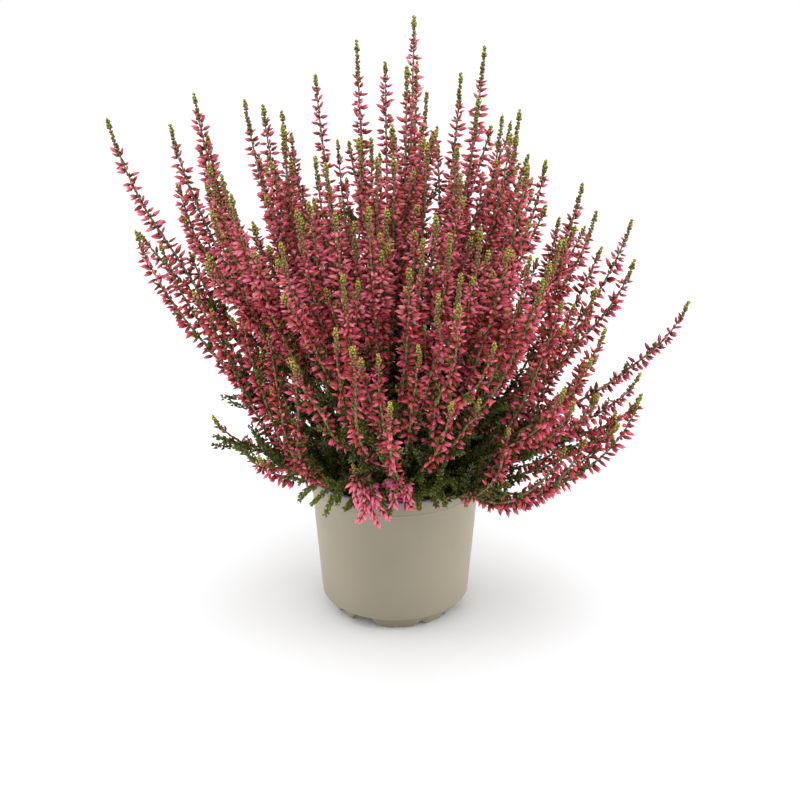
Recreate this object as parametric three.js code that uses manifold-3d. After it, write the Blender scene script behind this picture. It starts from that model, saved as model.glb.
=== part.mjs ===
// Potted heather, a bud-flowering ling in a tapered nursery pot. Millimetres, +Z up,
// origin on the pot's axis in the plane that the pot stands on, -Y towards the front.
//
// Woody sprays stand in plain holes in the growing medium. Each forks into up to three
// flowering spikes: a thin stem closely set with pointed buds and ended by a short green
// leafy tip. Short leafy shoots fill the foot of the bush and hang over the rim.

import * as THREE from 'three';
import { mergeVertices } from 'three/addons/utils/BufferGeometryUtils.js';
import Module from 'manifold-3d';

const wasm = await Module();
wasm.setup();

// ---------------------------------------------------------------- driving dimensions

const POT_HEIGHT = 93;
const RIM_RADIUS = 54.9;
const RIM_BAND = 10; // height of the thicker band at the top
const RIM_STEP = 0.9; // how far the band stands out from the wall
const WALL = 1.3;
const BASE_RADIUS = 47.9; // where the wall ends, above the feet
const FOOT_HEIGHT = 9;
const FOOT_RADIUS = 40.8;
const FOOT_WALL = 1.8;
const BASE_THICKNESS = 2.5;
const AROUND = 30; // sides of the pot and of the medium in it

const FIT = 0.35; // air between two pieces that touch
const MEDIUM_TOP = 84;
const HOLE_DEPTH = 10;

const STEM_RADIUS = 1.5; // at the foot of a spray
const TWIG_RADIUS = 0.95; // under the first buds
const BUD_REACH = 6.4; // from the stem's middle to a bud's point
const BUD_PITCH = 12; // between two pairs of buds, larger than life
const BUD_RISE = 4.6; // how far a bud's point lies above its seat
const TIP_LENGTH = 13; // the green leafy end of a spike
const FLOWERED = 0.52; // share of a spike's length that carries buds
const LONGEST_FLOWERED = 120;

const SHOOT_RADIUS = 2.4; // over the scale leaves of a leafy shoot
const SHOOT_LENGTH = 26;

const DEGREE = Math.PI / 180;

// Where each spike ends, spray by spray, from the left of the bush to its right.
const NEAR_SPRAYS = [
  [[-170, 15, 310]],
  [[-150, -20, 250], [-141, 4, 238]],
  [[-132, 10, 307], [-119, 22, 324]],
  [[-102, -40, 290], [-96, -74, 271]],
  [[-92, -60, 287], [-84, -82, 280]],
  [[-88, 12, 321], [-74, -15, 320], [-61, -38, 311]],
  [[-50, -88, 273], [-57, -104, 259]],
  [[-43, -45, 295], [-36, -64, 294]],
  [[-30, -92, 272], [-21, -76, 265]],
  [[-22, 15, 354]],
  [[-19, -50, 305], [-13, -28, 303]],
  [[11, 0, 367], [13, 19, 342]],
  [[7, -19, 341], [-1, -38, 311]],
  [[-9, -67, 297], [0, -56, 296]],
  [[-13, -90, 275], [-4, -74, 271]],
  [[8, -104, 246], [15, -91, 259]],
  [[-26, -108, 244]],
  [[18, -42, 302], [22, -80, 269]],
  [[-29, -114, 217], [-53, -104, 197]],
  [[-22, -119, 210], [-18, -101, 198], [-8, -112, 203]],
  [[17, -106, 207], [23, -113, 235]],
  [[51, 0, 351], [46, -30, 325]],
  [[60, -24, 315], [63, -46, 307]],
  [[74, 16, 315], [70, -10, 303]],
  [[72, -53, 292], [86, -20, 290]],
  [[34, -50, 301], [35, -72, 289]],
  [[111, 2, 274], [114, -32, 263]],
  [[145, 18, 250], [139, -25, 234]],
  [[174, -20, 208]],
  [[89, -70, 254], [81, -89, 246]],
  [[70, -97, 251], [75, -110, 242]],
  [[59, -88, 253], [45, -83, 263]],
  [[29, -88, 261], [34, -107, 244]],
  [[32, -119, 231], [52, -108, 208]],
  [[118, -60, 202], [113, -50, 223]],
  [[107, -82, 192], [90, -102, 181]],
  [[115, -68, 166], [98, -88, 169]],
  [[147, -26, 166], [143, -52, 161], [128, -66, 148]],
  [[-2, -132, 184]],
  [[30, -112, 177], [41, -92, 172]],
  [[-18, -84, 100]],
  [[-110, -30, 140], [-78, -68, 129]],
];

// The crown's inner spikes behind the middle.
const CROWN_SPRAYS = [
  [[-48, 38, 334], [-70, 48, 312]],
  [[-6, 50, 341], [20, 66, 322]],
  [[40, 40, 335], [72, 48, 306]],
];

// The far side: in each sector an upper, a middle and a low spike.
const FAR_SECTORS = 8;
const FAR_START = 12 * DEGREE;
const FAR_STEP = 21.5 * DEGREE;
const FAR_LEVELS = [
  { reach: 84, height: 292 },
  { reach: 118, height: 244 },
  { reach: 126, height: 184 },
];

const TUFTS = 5;
const SHOOTS_IN_TUFT = 6;
const TUFT_FOOT = 45; // distance of a tuft's foot from the axis

// ---------------------------------------------------------------- seeded draws

let drawState = 20263;

/** The next number of one fixed series, from low to high. */
function draw(low, high) {
  drawState = (drawState * 1664525 + 1013904223) % 4294967296;
  return low + (high - low) * (drawState / 4294967296);
}

// ---------------------------------------------------------------- solids and skins

/** A manifold solid from a closed geometry. */
function solidOf(geometry) {
  const bare = geometry.clone();
  bare.deleteAttribute('normal');
  bare.deleteAttribute('uv');
  const merged = mergeVertices(bare, 1e-4);
  return new wasm.Manifold(new wasm.Mesh({
    numProp: 3,
    vertProperties: new Float32Array(merged.attributes.position.array),
    triVerts: new Uint32Array(merged.index.array),
  }));
}

const SHORTEST_EDGE = 0.03;

/** The geometry of a manifold solid, with edges too short to matter drawn together. */
function geometryOf(solid) {
  const mesh = solid.getMesh();
  const corners = mesh.vertProperties;
  const keeper = Array.from({ length: corners.length / 3 }, (_, index) => index);
  const keptFor = (index) => (keeper[index] === index ? index : keptFor(keeper[index]));
  const place = (index) => new THREE.Vector3().fromArray(corners, index * 3);
  const triangles = mesh.triVerts;
  for (let corner = 0; corner < triangles.length; corner += 1) {
    const next = corner % 3 === 2 ? corner - 2 : corner + 1;
    const one = keptFor(triangles[corner]);
    const two = keptFor(triangles[next]);
    if (one !== two && place(one).distanceTo(place(two)) < SHORTEST_EDGE) {
      keeper[Math.max(one, two)] = Math.min(one, two);
    }
  }
  const kept = [];
  for (let corner = 0; corner < triangles.length; corner += 3) {
    const [a, b, c] = [0, 1, 2].map((offset) => keptFor(triangles[corner + offset]));
    if (a !== b && b !== c && c !== a) {
      kept.push(a, b, c);
    }
  }
  const geometry = new THREE.BufferGeometry();
  geometry.setAttribute('position', new THREE.BufferAttribute(corners, 3));
  geometry.setIndex(kept);
  return geometryWithoutSpares(geometry);
}

/** The same triangles with only the corners that they use. */
function geometryWithoutSpares(geometry) {
  const used = mergeVertices(geometry.toNonIndexed(), 1e-5);
  used.computeVertexNormals();
  return used;
}

/**
 * A closed skin over rings of equal count, flat at its foot and pointed at its end.
 * Each square between two rings is split between its two lower corners, so that every
 * high corner stands up as a four-sided point.
 */
function skinOf(rings, apex) {
  const sides = rings[0].length;
  const foot = new THREE.Vector3();
  for (const corner of rings[0]) {
    foot.addScaledVector(corner, 1 / sides);
  }
  const corners = [...rings.flat(), foot, apex];
  const footIndex = rings.length * sides;
  const apexIndex = footIndex + 1;
  const faces = [];
  for (let side = 0; side < sides; side += 1) {
    const next = (side + 1) % sides;
    faces.push(footIndex, next, side);
    for (let ring = 0; ring < rings.length - 1; ring += 1) {
      const a = ring * sides + side;
      const b = ring * sides + next;
      const c = b + sides;
      const d = a + sides;
      if ((ring + side) % 2 === 0) {
        faces.push(a, b, d, b, c, d);
      } else {
        faces.push(a, b, c, a, c, d);
      }
    }
    const last = (rings.length - 1) * sides;
    faces.push(last + side, last + next, apexIndex);
  }
  const geometry = new THREE.BufferGeometry();
  geometry.setAttribute(
    'position',
    new THREE.BufferAttribute(new Float32Array(corners.flatMap((v) => v.toArray())), 3),
  );
  geometry.setIndex(faces);
  return geometry;
}

/**
 * Four corners round a point of a stem. `across` is level with the ground and square to
 * the stem; radii and rises along the stem are given in turn.
 */
function ringAt(centre, along, across, turn, radii, rises = [0]) {
  const side = new THREE.Vector3().crossVectors(along, across).normalize();
  return [0, 1, 2, 3].map((index) => {
    const angle = turn + index * Math.PI / 2;
    const radius = radii[index % radii.length];
    return centre.clone()
      .addScaledVector(across, radius * Math.cos(angle))
      .addScaledVector(side, radius * Math.sin(angle))
      .addScaledVector(along, rises[index % rises.length]);
  });
}

// ---------------------------------------------------------------- courses of the stems

const SAMPLES = 24;
const HOLD_START = 0.32; // share of the span over which a stem keeps its first direction
const HOLD_END = 0.3; // and its last

/** Points along a stem that leaves `start` along `out` and ends at `tip` along `end`. */
function coursePoints(start, out, tip, end) {
  const span = start.distanceTo(tip);
  const curve = new THREE.CubicBezierCurve3(
    start,
    start.clone().addScaledVector(out, span * HOLD_START),
    tip.clone().addScaledVector(end, -span * HOLD_END),
    tip,
  );
  return curve.getPoints(SAMPLES - 1);
}

/** A direction leaning by `tilt` from upright towards the level direction `away`. */
function leaning(away, tilt) {
  return away.clone().multiplyScalar(Math.sin(tilt)).setZ(Math.cos(tilt));
}

/** The level direction from one point to another. */
function levelAway(from, to) {
  return new THREE.Vector3(to.x - from.x, to.y - from.y, 0).normalize();
}

/** The level direction square to the way from one point to another. */
function levelAcross(from, to) {
  const away = levelAway(from, to);
  return new THREE.Vector3(-away.y, away.x, 0);
}

/** How far the way from one point to another leans from upright. */
function leanOf(from, to) {
  return Math.atan2(Math.hypot(to.x - from.x, to.y - from.y), to.z - from.z);
}

/** All the spikes of all sprays: first those given above, then the far side's. */
function listSprays() {
  const sprays = [...NEAR_SPRAYS, ...CROWN_SPRAYS];
  for (let sector = 0; sector < FAR_SECTORS; sector += 1) {
    sprays.push(FAR_LEVELS.map(({ reach, height }, level) => {
      const angle = FAR_START + FAR_STEP * (sector + (level % 2) * 0.5) + draw(-0.05, 0.05);
      const out = reach + draw(-6, 6);
      return [out * Math.cos(angle), out * Math.sin(angle), height + draw(-16, 16)];
    }));
  }
  return sprays;
}

const AXIS = new THREE.Vector3(0, 0, 0);
const FOOT_SPREAD = 33; // the outermost sprays stand this far from the axis
const FOOT_LEVEL = MEDIUM_TOP + 2;
const ROOT_DEPTH = 20; // the leans are taken from this far below the feet
const OUTERMOST_LEAN = 60 * DEGREE;
const FLATTEST_START = 50 * DEGREE;
const START_LEAN = 1.3; // a stem leans more at its foot than on the whole
const END_LEAN = 0.35; // and less at its tip
const HANGING_BELOW = 120; // an unforked spike with a tip below this height hangs over
const HANGING_TILT = 140 * DEGREE;
const SHOOT_AT = 2; // the sample of a main stem that bears a leafy shoot
const FORK_AT = 5; // the sample where it forks
const FORK_STEP = 2; // samples on to its second fork

/** Each spike as { spray, main, points }, before it makes room for its neighbours. */
function firstCourses(sprays) {
  const spikes = [];
  sprays.forEach((tips, spray) => {
    const main = new THREE.Vector3(...tips[0]);
    const lean = leanOf(new THREE.Vector3(0, 0, FOOT_LEVEL - ROOT_DEPTH), main);
    const foot = levelAway(AXIS, main)
      .multiplyScalar(FOOT_SPREAD * Math.min(1, lean / OUTERMOST_LEAN))
      .setZ(FOOT_LEVEL);
    const tilt = leanOf(foot, main);
    const away = levelAway(foot, main);
    const hangs = main.z < HANGING_BELOW && tips.length === 1;
    const out = leaning(away, Math.min(tilt * START_LEAN, FLATTEST_START));
    const end = leaning(away, hangs ? HANGING_TILT : tilt * END_LEAN);
    const points = coursePoints(foot, out, main, end);
    const trunk = { spray, main: null, points };
    spikes.push(trunk);
    tips.slice(1).forEach((place, index) => {
      const tip = new THREE.Vector3(...place);
      const forkAt = FORK_AT + index * FORK_STEP;
      const start = points[forkAt].clone();
      const onward = points[forkAt + 1].clone().sub(points[forkAt - 1]).normalize();
      const lift = leaning(levelAway(start, tip), leanOf(start, tip) * END_LEAN);
      const branch = coursePoints(start, onward, tip, lift);
      spikes.push({ spray, main: trunk, forkAt, points: branch });
    });
  });
  return spikes;
}

function pathLength(points) {
  let length = 0;
  for (let k = 1; k < points.length; k += 1) {
    length += points[k].distanceTo(points[k - 1]);
  }
  return length;
}

/** How much of a spike of this length carries buds. */
function flowerLength(length) {
  return Math.min(LONGEST_FLOWERED, length * FLOWERED);
}

/** How much of it is bare stem, from the foot to the first buds. */
function bareLength(length) {
  return length - flowerLength(length) - TIP_LENGTH;
}

const ROOM_IN_FLOWER = 6.3; // half the distance that flowering stems keep
const ROOM_AT_STEM = 2.9; // half the distance that bare stems keep
const ROOM_GROWS_OVER = 25; // length of stem below the first buds

/** Half the room that each sample of a spike wants. */
function roomAlong(spike) {
  const length = pathLength(spike.points);
  const grows = bareLength(length) - ROOM_GROWS_OVER;
  return spike.points.map((_, k) => {
    const run = (length * k) / (SAMPLES - 1);
    const share = Math.min(1, Math.max(0, (run - grows) / ROOM_GROWS_OVER));
    return ROOM_AT_STEM + (ROOM_IN_FLOWER - ROOM_AT_STEM) * share;
  });
}

const ROUNDS = 60;
const PUSH = 0.25; // share of a lack of room that one round mends
const SAMPLES_TO_PART = 10; // spikes of one spray come apart over this many samples
const STIFF_SAMPLES = 3; // at a spike's end, where it gives way less
const STIFF_GIVE = 0.5;
const GIVE_IN_HEIGHT = 0.5;

/** Stems that come too near each other lean apart, a little in each round. */
function makeRoom(spikes) {
  const room = spikes.map(roomAlong);
  for (let round = 0; round < ROUNDS; round += 1) {
    const pushes = spikes.map((spike) => spike.points.map(() => new THREE.Vector3()));
    for (let one = 0; one < spikes.length; one += 1) {
      for (let two = one + 1; two < spikes.length; two += 1) {
        pushApart(spikes, room, pushes, one, two);
      }
    }
    spikes.forEach((spike, index) => bendBy(spike, smoothed(smoothed(pushes[index]))));
    spikes.filter((spike) => spike.main).forEach(rejoin);
  }
}

function pushApart(spikes, room, pushes, one, two) {
  const sameSpray = spikes[one].spray === spikes[two].spray;
  const gap = new THREE.Vector3();
  for (let j = 0; j < SAMPLES; j += 1) {
    const a = spikes[one].points[j];
    const parted = spikes[one].main ? j : SAMPLES_TO_PART;
    for (let k = 0; k < SAMPLES; k += 1) {
      const b = spikes[two].points[k];
      let wanted = room[one][j] + room[two][k];
      if (sameSpray) {
        wanted *= Math.min(SAMPLES_TO_PART, parted, k) / SAMPLES_TO_PART;
      }
      const dx = a.x - b.x;
      const dy = a.y - b.y;
      const dz = a.z - b.z;
      const squared = dx * dx + dy * dy + dz * dz;
      if (squared < wanted * wanted && squared > 0) {
        const distance = Math.sqrt(squared);
        const share = (PUSH * (wanted - distance)) / distance;
        gap.set(dx * share, dy * share, dz * share);
        pushes[one][j].add(gap);
        pushes[two][k].sub(gap);
      }
    }
  }
}

/** Each entry averaged with its neighbours. */
function smoothed(vectors) {
  return vectors.map((vector, k) => {
    const before = vectors[Math.max(0, k - 1)];
    const after = vectors[Math.min(vectors.length - 1, k + 1)];
    return before.clone().add(after).multiplyScalar(0.25).addScaledVector(vector, 0.5);
  });
}

/** A spike follows its pushes; its tip gives way less, and its foot slides level. */
function bendBy(spike, pushes) {
  spike.points.forEach((point, k) => {
    const give = k >= SAMPLES - STIFF_SAMPLES ? STIFF_GIVE : 1;
    point.x += pushes[k].x * give;
    point.y += pushes[k].y * give;
    point.z += k === 0 ? 0 : pushes[k].z * give * GIVE_IN_HEIGHT;
  });
}

/** A side spike's foot goes back onto the stem that it forks from. */
function rejoin(spike) {
  const back = spike.main.points[spike.forkAt].clone().sub(spike.points[0]);
  spike.points.forEach((point, k) => {
    const share = 1 - k / (SAMPLES - 1);
    point.addScaledVector(back, share * share);
  });
}

// ---------------------------------------------------------------- clearances

/** The distance from a point to a broken line. */
function distanceToPath(point, path) {
  let nearest = Infinity;
  for (let k = 1; k < path.length; k += 1) {
    const from = path[k - 1];
    const to = path[k];
    const ex = to.x - from.x;
    const ey = to.y - from.y;
    const ez = to.z - from.z;
    const px = point.x - from.x;
    const py = point.y - from.y;
    const pz = point.z - from.z;
    const share = (px * ex + py * ey + pz * ez) / (ex * ex + ey * ey + ez * ez);
    const t = Math.min(1, Math.max(0, share));
    const gap = Math.hypot(px - ex * t, py - ey * t, pz - ez * t);
    nearest = Math.min(nearest, gap);
  }
  return nearest;
}

/** The distance from a point to the nearest stem of any other spray. */
function distanceToOthers(point, spray, spikes) {
  let nearest = Infinity;
  for (const other of spikes) {
    if (other.spray !== spray) {
      nearest = Math.min(nearest, distanceToPath(point, other.points));
    }
  }
  return nearest;
}

// ---------------------------------------------------------------- a flowering spike

/** The point and direction at a given length along a path. */
function alongPath(points, run) {
  let left = run;
  for (let k = 1; k < points.length; k += 1) {
    const step = points[k].distanceTo(points[k - 1]);
    if (left <= step || k === points.length - 1) {
      const along = points[k].clone().sub(points[k - 1]).normalize();
      return { point: points[k - 1].clone().addScaledVector(along, left), along };
    }
    left -= step;
  }
  throw new Error('a path needs two points');
}

/** A level direction square to a stem that runs `along`, near the one used before. */
function squareTo(along, before) {
  return before.clone().addScaledVector(along, -before.dot(along)).normalize();
}

const TURN_PER_PAIR = 24 * DEGREE; // each pair of buds is turned on from a right angle
const STEM_STEP = 70; // the longest straight length of bare stem, about
const LEAST_STEP = 12;
const VALLEY = 1.15; // the stem's skin between buds
const END_BUDS = 0.72; // size of the first and the last buds
const SIDE_SPIKE = 1.1; // a side spike's foot against its stem under the first buds
const TIP_RADIUS = 1.6; // over the leaves of the green tip
const TIP_WIDEST = 0.6; // share of the tip's length below its widest place

/** Lengths along the bare stem that need a ring: its joints, and no long gap between. */
function bareStops(spike, bareEnd, joints) {
  const stops = joints
    .map((sample) => pathLength(spike.points.slice(0, sample + 1)))
    .filter((run) => run < bareEnd - LEAST_STEP);
  const filled = [];
  [...stops, bareEnd].forEach((run, index, all) => {
    const from = index === 0 ? 0 : all[index - 1];
    const pieces = Math.max(1, Math.round((run - from) / STEM_STEP));
    for (let piece = 1; piece < pieces; piece += 1) {
      filled.push(from + ((run - from) * piece) / pieces);
    }
    if (run < bareEnd) {
      filled.push(run);
    }
  });
  return filled;
}

/**
 * One spike from its foot to its green tip. The skin of the flowering stem is drawn out
 * into a point for every bud, two opposite ones at each level, crosswise to the last.
 */
function spikeSkin(spike, spikes, joints) {
  const { points, spray } = spike;
  const length = pathLength(points);
  const flowered = flowerLength(length);
  const bareEnd = bareLength(length);
  const foot = spike.main === null;
  const rings = [];
  let across = levelAcross(AXIS, points[points.length - 1]);
  if (foot) {
    const upright = new THREE.Vector3(0, 0, 1);
    const seat = points[0].clone().setZ(MEDIUM_TOP - HOLE_DEPTH);
    rings.push(ringAt(seat, upright, across, Math.PI / 4, [STEM_RADIUS]));
    rings.push(ringAt(points[0], upright, across, Math.PI / 4, [STEM_RADIUS]));
  }
  for (const run of bareStops(spike, bareEnd, joints)) {
    const { point, along } = alongPath(points, run);
    across = squareTo(along, across);
    const thick = foot ? STEM_RADIUS : TWIG_RADIUS * SIDE_SPIKE;
    const radius = thick + (TWIG_RADIUS - thick) * (run / bareEnd);
    rings.push(ringAt(point, along, across, Math.PI / 4, [radius]));
  }
  const pairs = Math.round(flowered / BUD_PITCH);
  let turn = Math.PI / 4;
  for (let pair = 0; pair <= pairs; pair += 1) {
    const { point, along } = alongPath(points, bareEnd + (flowered * pair) / pairs);
    across = squareTo(along, across);
    const clear = distanceToOthers(point, spray, spikes) / 2 - FIT / 2;
    const size = pair === 0 || pair === pairs ? END_BUDS : 1;
    const reach = Math.max(VALLEY, Math.min(BUD_REACH * size * draw(0.9, 1.05), clear));
    const rise = BUD_RISE * (reach / BUD_REACH);
    // The high corners are those whose ring and side add up to an even number.
    const evenHigh = rings.length % 2 === 0;
    const radii = evenHigh ? [reach, VALLEY] : [VALLEY, reach];
    const rises = evenHigh ? [rise, 0] : [0, rise];
    rings.push(ringAt(point, along, across, turn, radii, rises));
    turn += TURN_PER_PAIR;
  }
  const { point, along } = alongPath(points, length - TIP_LENGTH * (1 - TIP_WIDEST));
  rings.push(ringAt(point, along, squareTo(along, across), turn, [TIP_RADIUS]));
  return skinOf(rings, points[points.length - 1].clone());
}

// ---------------------------------------------------------------- leafy shoots

const SHOOT_POINTS = 4;

/** A short curved path that starts leaning by `tilt` and straightens up or droops. */
function shootPath(start, azimuth, tilt, bend, length) {
  const away = new THREE.Vector3(Math.cos(azimuth), Math.sin(azimuth), 0);
  const points = [start.clone()];
  for (let k = 1; k < SHOOT_POINTS; k += 1) {
    const step = leaning(away, tilt + bend * (k / (SHOOT_POINTS - 1)));
    points.push(points[k - 1].clone().addScaledVector(step, length / (SHOOT_POINTS - 1)));
  }
  return points;
}

const LEAF_VALLEY = 0.42; // share of a shoot's radius that is left between its leaves
const LEAF_TURN = 17 * DEGREE;

/** A knobbly leafy shoot: scale leaves in crossed pairs, drawn out of its skin. */
function shootSkin(points) {
  const low = SHOOT_RADIUS * LEAF_VALLEY;
  let across = levelAcross(points[0], points[points.length - 1]);
  const rings = [];
  for (let k = 0; k < points.length - 1; k += 1) {
    const along = points[k + 1].clone().sub(points[k]).normalize();
    across = squareTo(along, across);
    const high = k === 0 ? low : SHOOT_RADIUS;
    const radii = k % 2 === 0 ? [high, low] : [low, high];
    rings.push(ringAt(points[k], along, across, k * LEAF_TURN, radii));
  }
  return skinOf(rings, points[points.length - 1]);
}

const ROOM_BY_POT = SHOOT_RADIUS + 0.2;
const FIRST_BUDS = 8; // the buds' room begins this far below the first of them
const FIRST_BUDS_ROUND = 12; // and within this distance of there

/** How far a spike with its buds stands out from its stem near a place. */
function outerAt(spike, place) {
  const bareEnd = bareLength(pathLength(spike.points));
  const bareTop = alongPath(spike.points, bareEnd - FIRST_BUDS).point;
  const inFlower = place.z > bareTop.z || place.distanceTo(bareTop) < FIRST_BUDS_ROUND;
  return inFlower ? BUD_REACH : STEM_RADIUS + FIT;
}

/** Whether a place on a shoot would touch the pot or the medium. */
function isAtPot(place) {
  const out = Math.hypot(place.x, place.y);
  const overMedium = out < RIM_RADIUS && place.z < MEDIUM_TOP + ROOM_BY_POT;
  const overRim = Math.abs(out - RIM_RADIUS + WALL) < WALL + ROOM_BY_POT;
  return overMedium || (overRim && place.z < POT_HEIGHT + ROOM_BY_POT);
}

/** Whether a place on a shoot would touch a spray or a shoot of another node. */
function isAtOthers(place, owner, spikes, shoots) {
  const atSpike = spikes.some((spike) => (
    spike.spray !== owner
    && distanceToPath(place, spike.points) < SHOOT_RADIUS + outerAt(spike, place)
  ));
  return atSpike || shoots.some((shoot) => (
    shoot.owner !== owner && distanceToPath(place, shoot.points) < SHOOT_RADIUS * 2 + FIT
  ));
}

const TRIES = 16;
const SWING_STEP = 13 * DEGREE;
const LIFT_STEP = 9 * DEGREE;

/** A shoot from `start`, bent by fixed steps until it is clear, or nothing. */
function growShoot(owner, start, { azimuth, tilt, bend, length }, spikes, shoots) {
  for (let attempt = 0; attempt < TRIES; attempt += 1) {
    const swing = (attempt % 2 === 0 ? 1 : -1) * Math.ceil(attempt / 2) * SWING_STEP;
    const lift = (attempt % 3) * LIFT_STEP;
    const points = shootPath(start, azimuth + swing, tilt - lift, bend, length);
    const middles = points.slice(1).map((point, k) => point.clone().lerp(points[k], 0.5));
    const touches = points.slice(1).some(isAtPot)
      || [...points.slice(1), ...middles].some((place) => (
        isAtOthers(place, owner, spikes, shoots)
      ));
    if (!touches) {
      shoots.push({ owner, points });
      return [solidOf(shootSkin(points))];
    }
  }
  return [];
}

// ---------------------------------------------------------------- the pot

/** [degrees from the front, width in degrees, height] of each gap between the feet. */
const FOOT_GAPS = [
  [-28, 20, 7.5], [20, 5, 4.5], [44, 7, 6], [72, 20, 7.5], [116, 5, 4.5],
  [152, 20, 7.5], [-160, 5, 4.5], [-128, 20, 7.5], [-92, 5, 4.5], [-56, 7, 6],
];
const GAP_DEPTH = 6; // of the boxes that cut the gaps, through the foot's wall
const FOOT_FLARE = 1; // the foot's wall stands out this much more at its top
const DRAIN_HOLES = 4;
const DRAIN_RADIUS = 3.5;
const DRAIN_CIRCLE = 28;
const DRAIN_SIDES = 6;

const FLOOR_LEVEL = FOOT_HEIGHT + BASE_THICKNESS;
const BAND_FOOT = POT_HEIGHT - RIM_BAND;
const BAND_TAPER = 0.5;
const RIM_BEVEL = 0.7;
const WALL_TOP_RADIUS = RIM_RADIUS - BAND_TAPER - RIM_STEP;

/** The radius of the wall's inner face at a height. */
function wallInside(height) {
  const share = (height - FLOOR_LEVEL) / (BAND_FOOT - FLOOR_LEVEL);
  return BASE_RADIUS - WALL + (WALL_TOP_RADIUS - BASE_RADIUS) * share;
}

/** A solid turned round the pot's axis from [radius, height] pairs. */
function turned(profile) {
  const points = profile.map(([radius, height]) => new THREE.Vector2(radius, height));
  const lathe = new THREE.LatheGeometry(points, AROUND);
  lathe.rotateX(Math.PI / 2);
  return solidOf(lathe);
}

function potGeometry() {
  let pot = turned([
    [0, FOOT_HEIGHT],
    [FOOT_RADIUS - FOOT_WALL, FOOT_HEIGHT],
    [FOOT_RADIUS - FOOT_WALL, 0],
    [FOOT_RADIUS, 0],
    [FOOT_RADIUS + FOOT_FLARE, FOOT_HEIGHT],
    [BASE_RADIUS, FOOT_HEIGHT],
    [WALL_TOP_RADIUS, BAND_FOOT],
    [RIM_RADIUS - BAND_TAPER, BAND_FOOT],
    [RIM_RADIUS, POT_HEIGHT - RIM_BEVEL],
    [RIM_RADIUS - RIM_BEVEL, POT_HEIGHT],
    [RIM_RADIUS - RIM_BEVEL - WALL, POT_HEIGHT],
    [wallInside(BAND_FOOT), BAND_FOOT],
    [wallInside(FLOOR_LEVEL), FLOOR_LEVEL],
    [0, FLOOR_LEVEL],
  ]);
  for (const [degrees, width, height] of FOOT_GAPS) {
    const across = 2 * FOOT_RADIUS * Math.sin((width * DEGREE) / 2);
    const gap = new THREE.BoxGeometry(across, GAP_DEPTH, height * 2);
    gap.translate(0, -FOOT_RADIUS, 0);
    gap.rotateZ(degrees * DEGREE);
    pot = pot.subtract(solidOf(gap));
  }
  for (let hole = 0; hole < DRAIN_HOLES; hole += 1) {
    const drain = new THREE.CylinderGeometry(
      DRAIN_RADIUS, DRAIN_RADIUS, FLOOR_LEVEL * 2, DRAIN_SIDES,
    );
    drain.rotateX(Math.PI / 2);
    drain.translate(DRAIN_CIRCLE, 0, FLOOR_LEVEL);
    drain.rotateZ((hole / DRAIN_HOLES) * 2 * Math.PI);
    pot = pot.subtract(solidOf(drain));
  }
  return geometryOf(pot);
}

// ---------------------------------------------------------------- the medium

const EDGE_DROP = 1.5; // the medium's top falls off by this much
const EDGE_WIDTH = 5; // near the wall, over this width

/** The filled pot's medium with a square hole for each foot. */
function mediumGeometry(feet) {
  const low = FLOOR_LEVEL + FIT;
  const edge = Math.min(MEDIUM_TOP - EDGE_DROP, BAND_FOOT);
  let medium = turned([
    [0, low],
    [wallInside(low) - FIT, low],
    [wallInside(edge) - FIT, edge],
    [wallInside(edge) - EDGE_WIDTH, MEDIUM_TOP],
    [0, MEDIUM_TOP],
  ]);
  const radius = STEM_RADIUS + FIT * Math.SQRT2;
  for (const { x, y, angle } of feet) {
    const hole = new THREE.CylinderGeometry(radius, radius, 2 * (HOLE_DEPTH + FIT), 4);
    hole.rotateX(Math.PI / 2);
    hole.rotateZ(angle);
    hole.translate(x, y, MEDIUM_TOP);
    medium = medium.subtract(solidOf(hole));
  }
  return geometryOf(medium);
}

// ---------------------------------------------------------------- the whole plant

const materials = {
  pot: { color: 0xa39b86, roughness: 0.55, metalness: 0 },
  medium: { color: 0x2e241b, roughness: 1, metalness: 0 },
  spray: { color: 0xc94468, roughness: 0.6, metalness: 0 },
  foliage: { color: 0x3d4a26, roughness: 0.7, metalness: 0 },
};

const heather = new THREE.Group();

function addNode(name, geometry, look) {
  const mesh = new THREE.Mesh(geometry, new THREE.MeshStandardMaterial(materials[look]));
  mesh.name = name;
  heather.add(mesh);
}

const spikes = firstCourses(listSprays());
makeRoom(spikes);
const shoots = []; // the leafy shoots that stand so far
const feet = []; // where each node stands in the medium

const SPRAY_SHOOT = { tilt: 65 * DEGREE, bend: -25 * DEGREE };
const SPRAY_SHOOT_SWINGS = [0.7, -0.8]; // to either side of the way the spray leans

/** One spray: its spikes, and a leafy shoot on every second one. */
function sprayGeometry(spray) {
  const own = spikes.filter((spike) => spike.spray === spray);
  const trunk = own[0];
  const forks = own.slice(1).map((spike) => spike.forkAt);
  const parts = own.map((spike) => (
    solidOf(spikeSkin(spike, spikes, spike === trunk ? [SHOOT_AT, ...forks] : [0]))
  ));
  const away = levelAway(AXIS, trunk.points[SAMPLES - 1]);
  const azimuth = Math.atan2(away.y, away.x);
  feet.push({ x: trunk.points[0].x, y: trunk.points[0].y, angle: azimuth + Math.PI / 4 });
  if (spray % 2 === 0) {
    const swing = SPRAY_SHOOT_SWINGS[(spray / 2) % 2] + draw(-0.3, 0.3);
    const length = SHOOT_LENGTH * draw(0.8, 1.1);
    const course = { ...SPRAY_SHOOT, azimuth: azimuth + swing, length };
    parts.push(...growShoot(spray, trunk.points[SHOOT_AT], course, spikes, shoots));
  }
  return geometryOf(wasm.Manifold.union(parts));
}

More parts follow.
